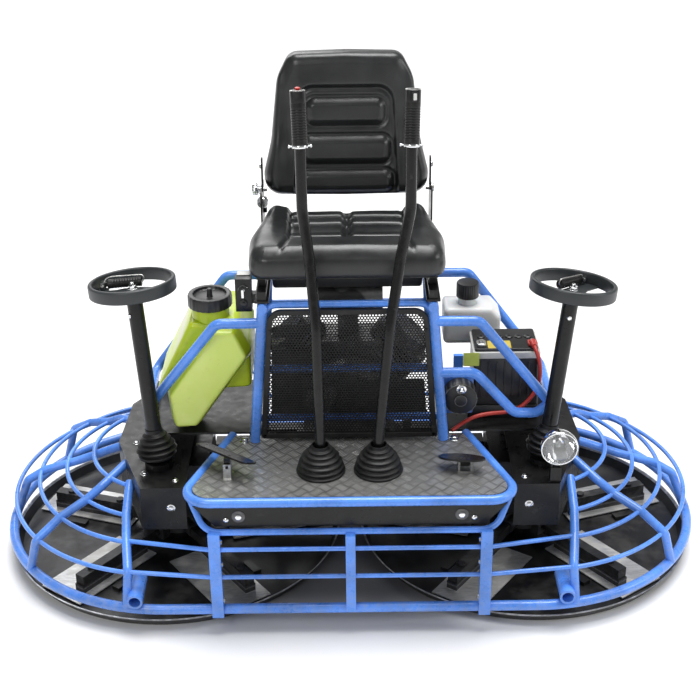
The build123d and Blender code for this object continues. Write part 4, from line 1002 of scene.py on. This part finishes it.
# painted highlight: the lid band is coloured pale grey for the highlight along its front edge
lid = block((340, 525), (-64, 76), (584, 604), 7, 3)
fixed("battery_lid", PALE_CASE, lid, "tank_white")
vent = turned([(0, 0), (11, 0), (11, 3), (9, 4.5), (3.2, 4.5), (3.2, 3.4), (0, 3.4)], 32)
top = [block((346, 519), (-58, 70), (603, 612), 6, 2)] + [at(vent, (368 + 26 * n, 18, 611)) for n in range(6)]
fixed("battery_top", CASE, joined(*top), "battery_case")
patch = block((382, 446), (-54, -8), (611.4, 612.8), 3, 0.4)
fixed("battery_patch", AMBER_PATCH, patch, "tank_yellow")
POSTS = (365, 505)
post = turned([(0, 610), (9, 610), (8, 624), (6.5, 626), (0, 626)], 28)
clamps = [block((x - 13, x + 13), (-46, -18), (612.5, 621), 5, 2) for x in POSTS]
terminals = [at(post, (x, -30, 0)) for x in POSTS] + clamps[:1]
fixed("battery_terminals", ZINC, joined(*terminals), "grey_steel")
sleeve = smooth([(505, -36, 622), (505.5, -48, 622), (507, -62, 621)], 6)
sleeve = swept(sleeve, np.linspace(9.5, 7.2, len(sleeve)), steps=24)
fixed("battery_lead_shoe", LEAD_RED, joined(clamps[1], sleeve), "red_cable")

# ---- battery switch behind the lower side tube ----
drum = [(0, 0), (45, 0), (46, 3), (46, 40), (44, 45), (38, 47), (17, 48), (17, 52), (15, 53), (0, 53)]
drum = turned(drum, 64, 16, 1.6)
fixed("isolator_drum", CAP_BLACK, at(drum, (302, -105.2, 506), UP_FRONT), "cap_black")
dome = joined(hex_bolt(20, 8), turned([(0, 6), (8.4, 6), (8, 11), (5.4, 14.4), (0, 15.6)], 32))
fixed("isolator_bolt", CHROME, at(dome, (303, -155.6, 540), UP_FRONT), "chrome")
back_plate = at(block((247, 339), (441, 564), (105, 107), 6, 0.8), axes=UP_FRONT)
fixed("isolator_plate", BLUE, back_plate, "blue_paint")

# ---- work lamp ----
LAMP_AT = (549, -262, 449)
bowl = smooth([(0, 0), (12, 0.6), (26, 7), (38, 20), (45, 33), (48, 45)], 6)
inner = smooth([(0, 7), (12, 9), (24, 17), (34, 29), (41, 41), (44, 50)], 6)
wall = [bowl, [(49, 46), (49.6, 48), (49.6, 58), (48, 60.5), (45.5, 61), (44.5, 59), (44.5, 52)], inner[::-1]]
reflector = [inner + (0, 0.2), inner[::-1] + (0, 1.0)]
front = smooth([(0, 65.5), (16, 64.6), (30, 62), (40, 58.5), (44.3, 55)], 5)
pane = [front, [(44.3, 52.5)], smooth([(40, 55.5), (30, 59), (16, 61.8), (0, 62.8)], 5)]
wall, reflector, pane = (at(turned(np.vstack(p), 96), LAMP_AT, UP_FRONT) for p in (wall, reflector, pane))
piece("lamp_bowl", "lamp_body", CHROME, wall, "chrome", ["lamp_head"], 45)
piece("lamp_reflector", "lamp_body", MIRROR, reflector, "chrome")
piece("lamp_lens", "lamp_body", LENS, pane, "chrome")
bulb = turned([(0, 8), (6, 8), (6, 20), (8, 24), (9, 31), (7, 38), (3, 41), (0, 41.6)], 32)
piece("lamp_bulb", "lamp_body", ROCKER, at(bulb, LAMP_AT, UP_FRONT), "tank_white")
LAMP_PIN, ACROSS = (549, -281, 392), basis((1, 0, 0), (0, 0, 1))
stem = turned([(0, 0), (7.5, 0), (7.5, 6), (9.5, 7), (9.5, 12), (7, 13), (7, 20), (0, 20)], 6)
barrel = turned([(0, -8.4), (9, -8.4), (9, 8.4), (0, 8.4)], 40, 10, 0.8)
axle = turned([(0, -16), (6.2, -16), (6.2, -13.6), (3.9, -13.6), (3.9, 14), (6.2, 14), (6.2, 16), (0, 16)], 6)
knuckle = joined(at(stem, (549, -284, 395)), at(joined(barrel, axle), LAMP_PIN, ACROSS))
piece("lamp_knuckle", "lamp_body", CHROME, knuckle, "chrome")

# ---- bolts and washers ----
SKIRT_FRONT, POST_FACE = -472.1, 332.8
HEADS = [  # size and height of the head, then where it stands, and which way
    (17, 7, (557, -226, 330), np.eye(3)),
    (14, 6, (470, -262, 330), np.eye(3)),
    (14, 6, (600, -60, 330), np.eye(3)),
    (17, 7, (480, -300.1, 268), UP_FRONT),
    (17, 6.4, (285, SKIRT_FRONT, 350), UP_FRONT),
    (20, 9, (284, -182, 404), np.eye(3)),
]
rivet = turned([(0, 0), (7, 0), (7, 2), (4.5, 4.6), (0, 5.4)], 24)
post_bolt = turned([(0, 0), (6.4, 0), (6.4, 2), (4.4, 5), (0, 6.4)], 6)
washer = turned([(0, 0), (17, 0), (17, 1.2), (15.5, 2), (0, 2)], 40)
bolts, washers = [], []
for side in (-1, 1):
    bolts += [at(hex_bolt(size, tall), (side * x, y, z), axes) for size, tall, (x, y, z), axes in HEADS]
    bolts.append(at(rivet, (side * 317, SKIRT_FRONT, 340), UP_FRONT))
    inwards = basis((-side, 0, 0), (0, 1, 0))
    bolts += [at(post_bolt, (side * POST_FACE, -498, z), inwards) for z in (110, 222, 290)]
    washers.append(at(washer, (side * 285, SKIRT_FRONT, 350), UP_FRONT))
fixed("frame_bolt_heads", CHROME, joined(*bolts), "chrome", ["frame_bolts"])
fixed("skirt_washers", DARK_STEEL, joined(*washers), "grey_steel")

# ---- floor, light and view ----
FLOOR_HALF = 60.0
floor_mesh = bpy.data.meshes.new("studio_floor")
u, v = np.meshgrid(*[np.linspace(-FLOOR_HALF, FLOOR_HALF, 9)] * 2)
floor_grid = lattice(np.stack([u, v, np.full_like(u, -0.0004)], -1), wrap_columns=False)
floor_mesh.from_pydata(floor_grid[0], [], floor_grid[1][0].tolist())
floor_mesh.materials.append(studio_floor())
floor = linked("studio_floor", floor_mesh)


def soft_light(name, place, turn, size, power):
    """A large square lamp that throws a soft shadow."""
    light = bpy.data.lights.new(name, "AREA")
    light.size, light.energy = size, power
    holder = linked(name, light)
    holder.location, holder.rotation_euler = place, [math.radians(a) for a in turn]


soft_light("front_softbox", (-1.9, -4.0, 3.6), (52, 0, -25), 1.8, 58)
soft_light("side_softbox", (3.6, -1.0, 2.4), (66, 0, 76), 1.4, 30)
soft_light("rear_softbox", (-1.0, 3.2, 2.8), (-58, 0, 18), 2.0, 40)
sky = bpy.data.lights.new("overhead_sky", "SUN")
sky.energy, sky.angle = 3.3, math.radians(38)
linked("overhead_sky", sky).rotation_euler = (math.radians(-8), math.radians(6), 0)
world = bpy.data.worlds.new("studio")
world.use_nodes = True
backdrop = world.node_tree.nodes["Background"].inputs
backdrop["Color"].default_value = (1, 1, 1, 1)
backdrop["Strength"].default_value = 0.30
bpy.context.scene.world = world
bpy.context.scene.view_settings.view_transform = "Standard"
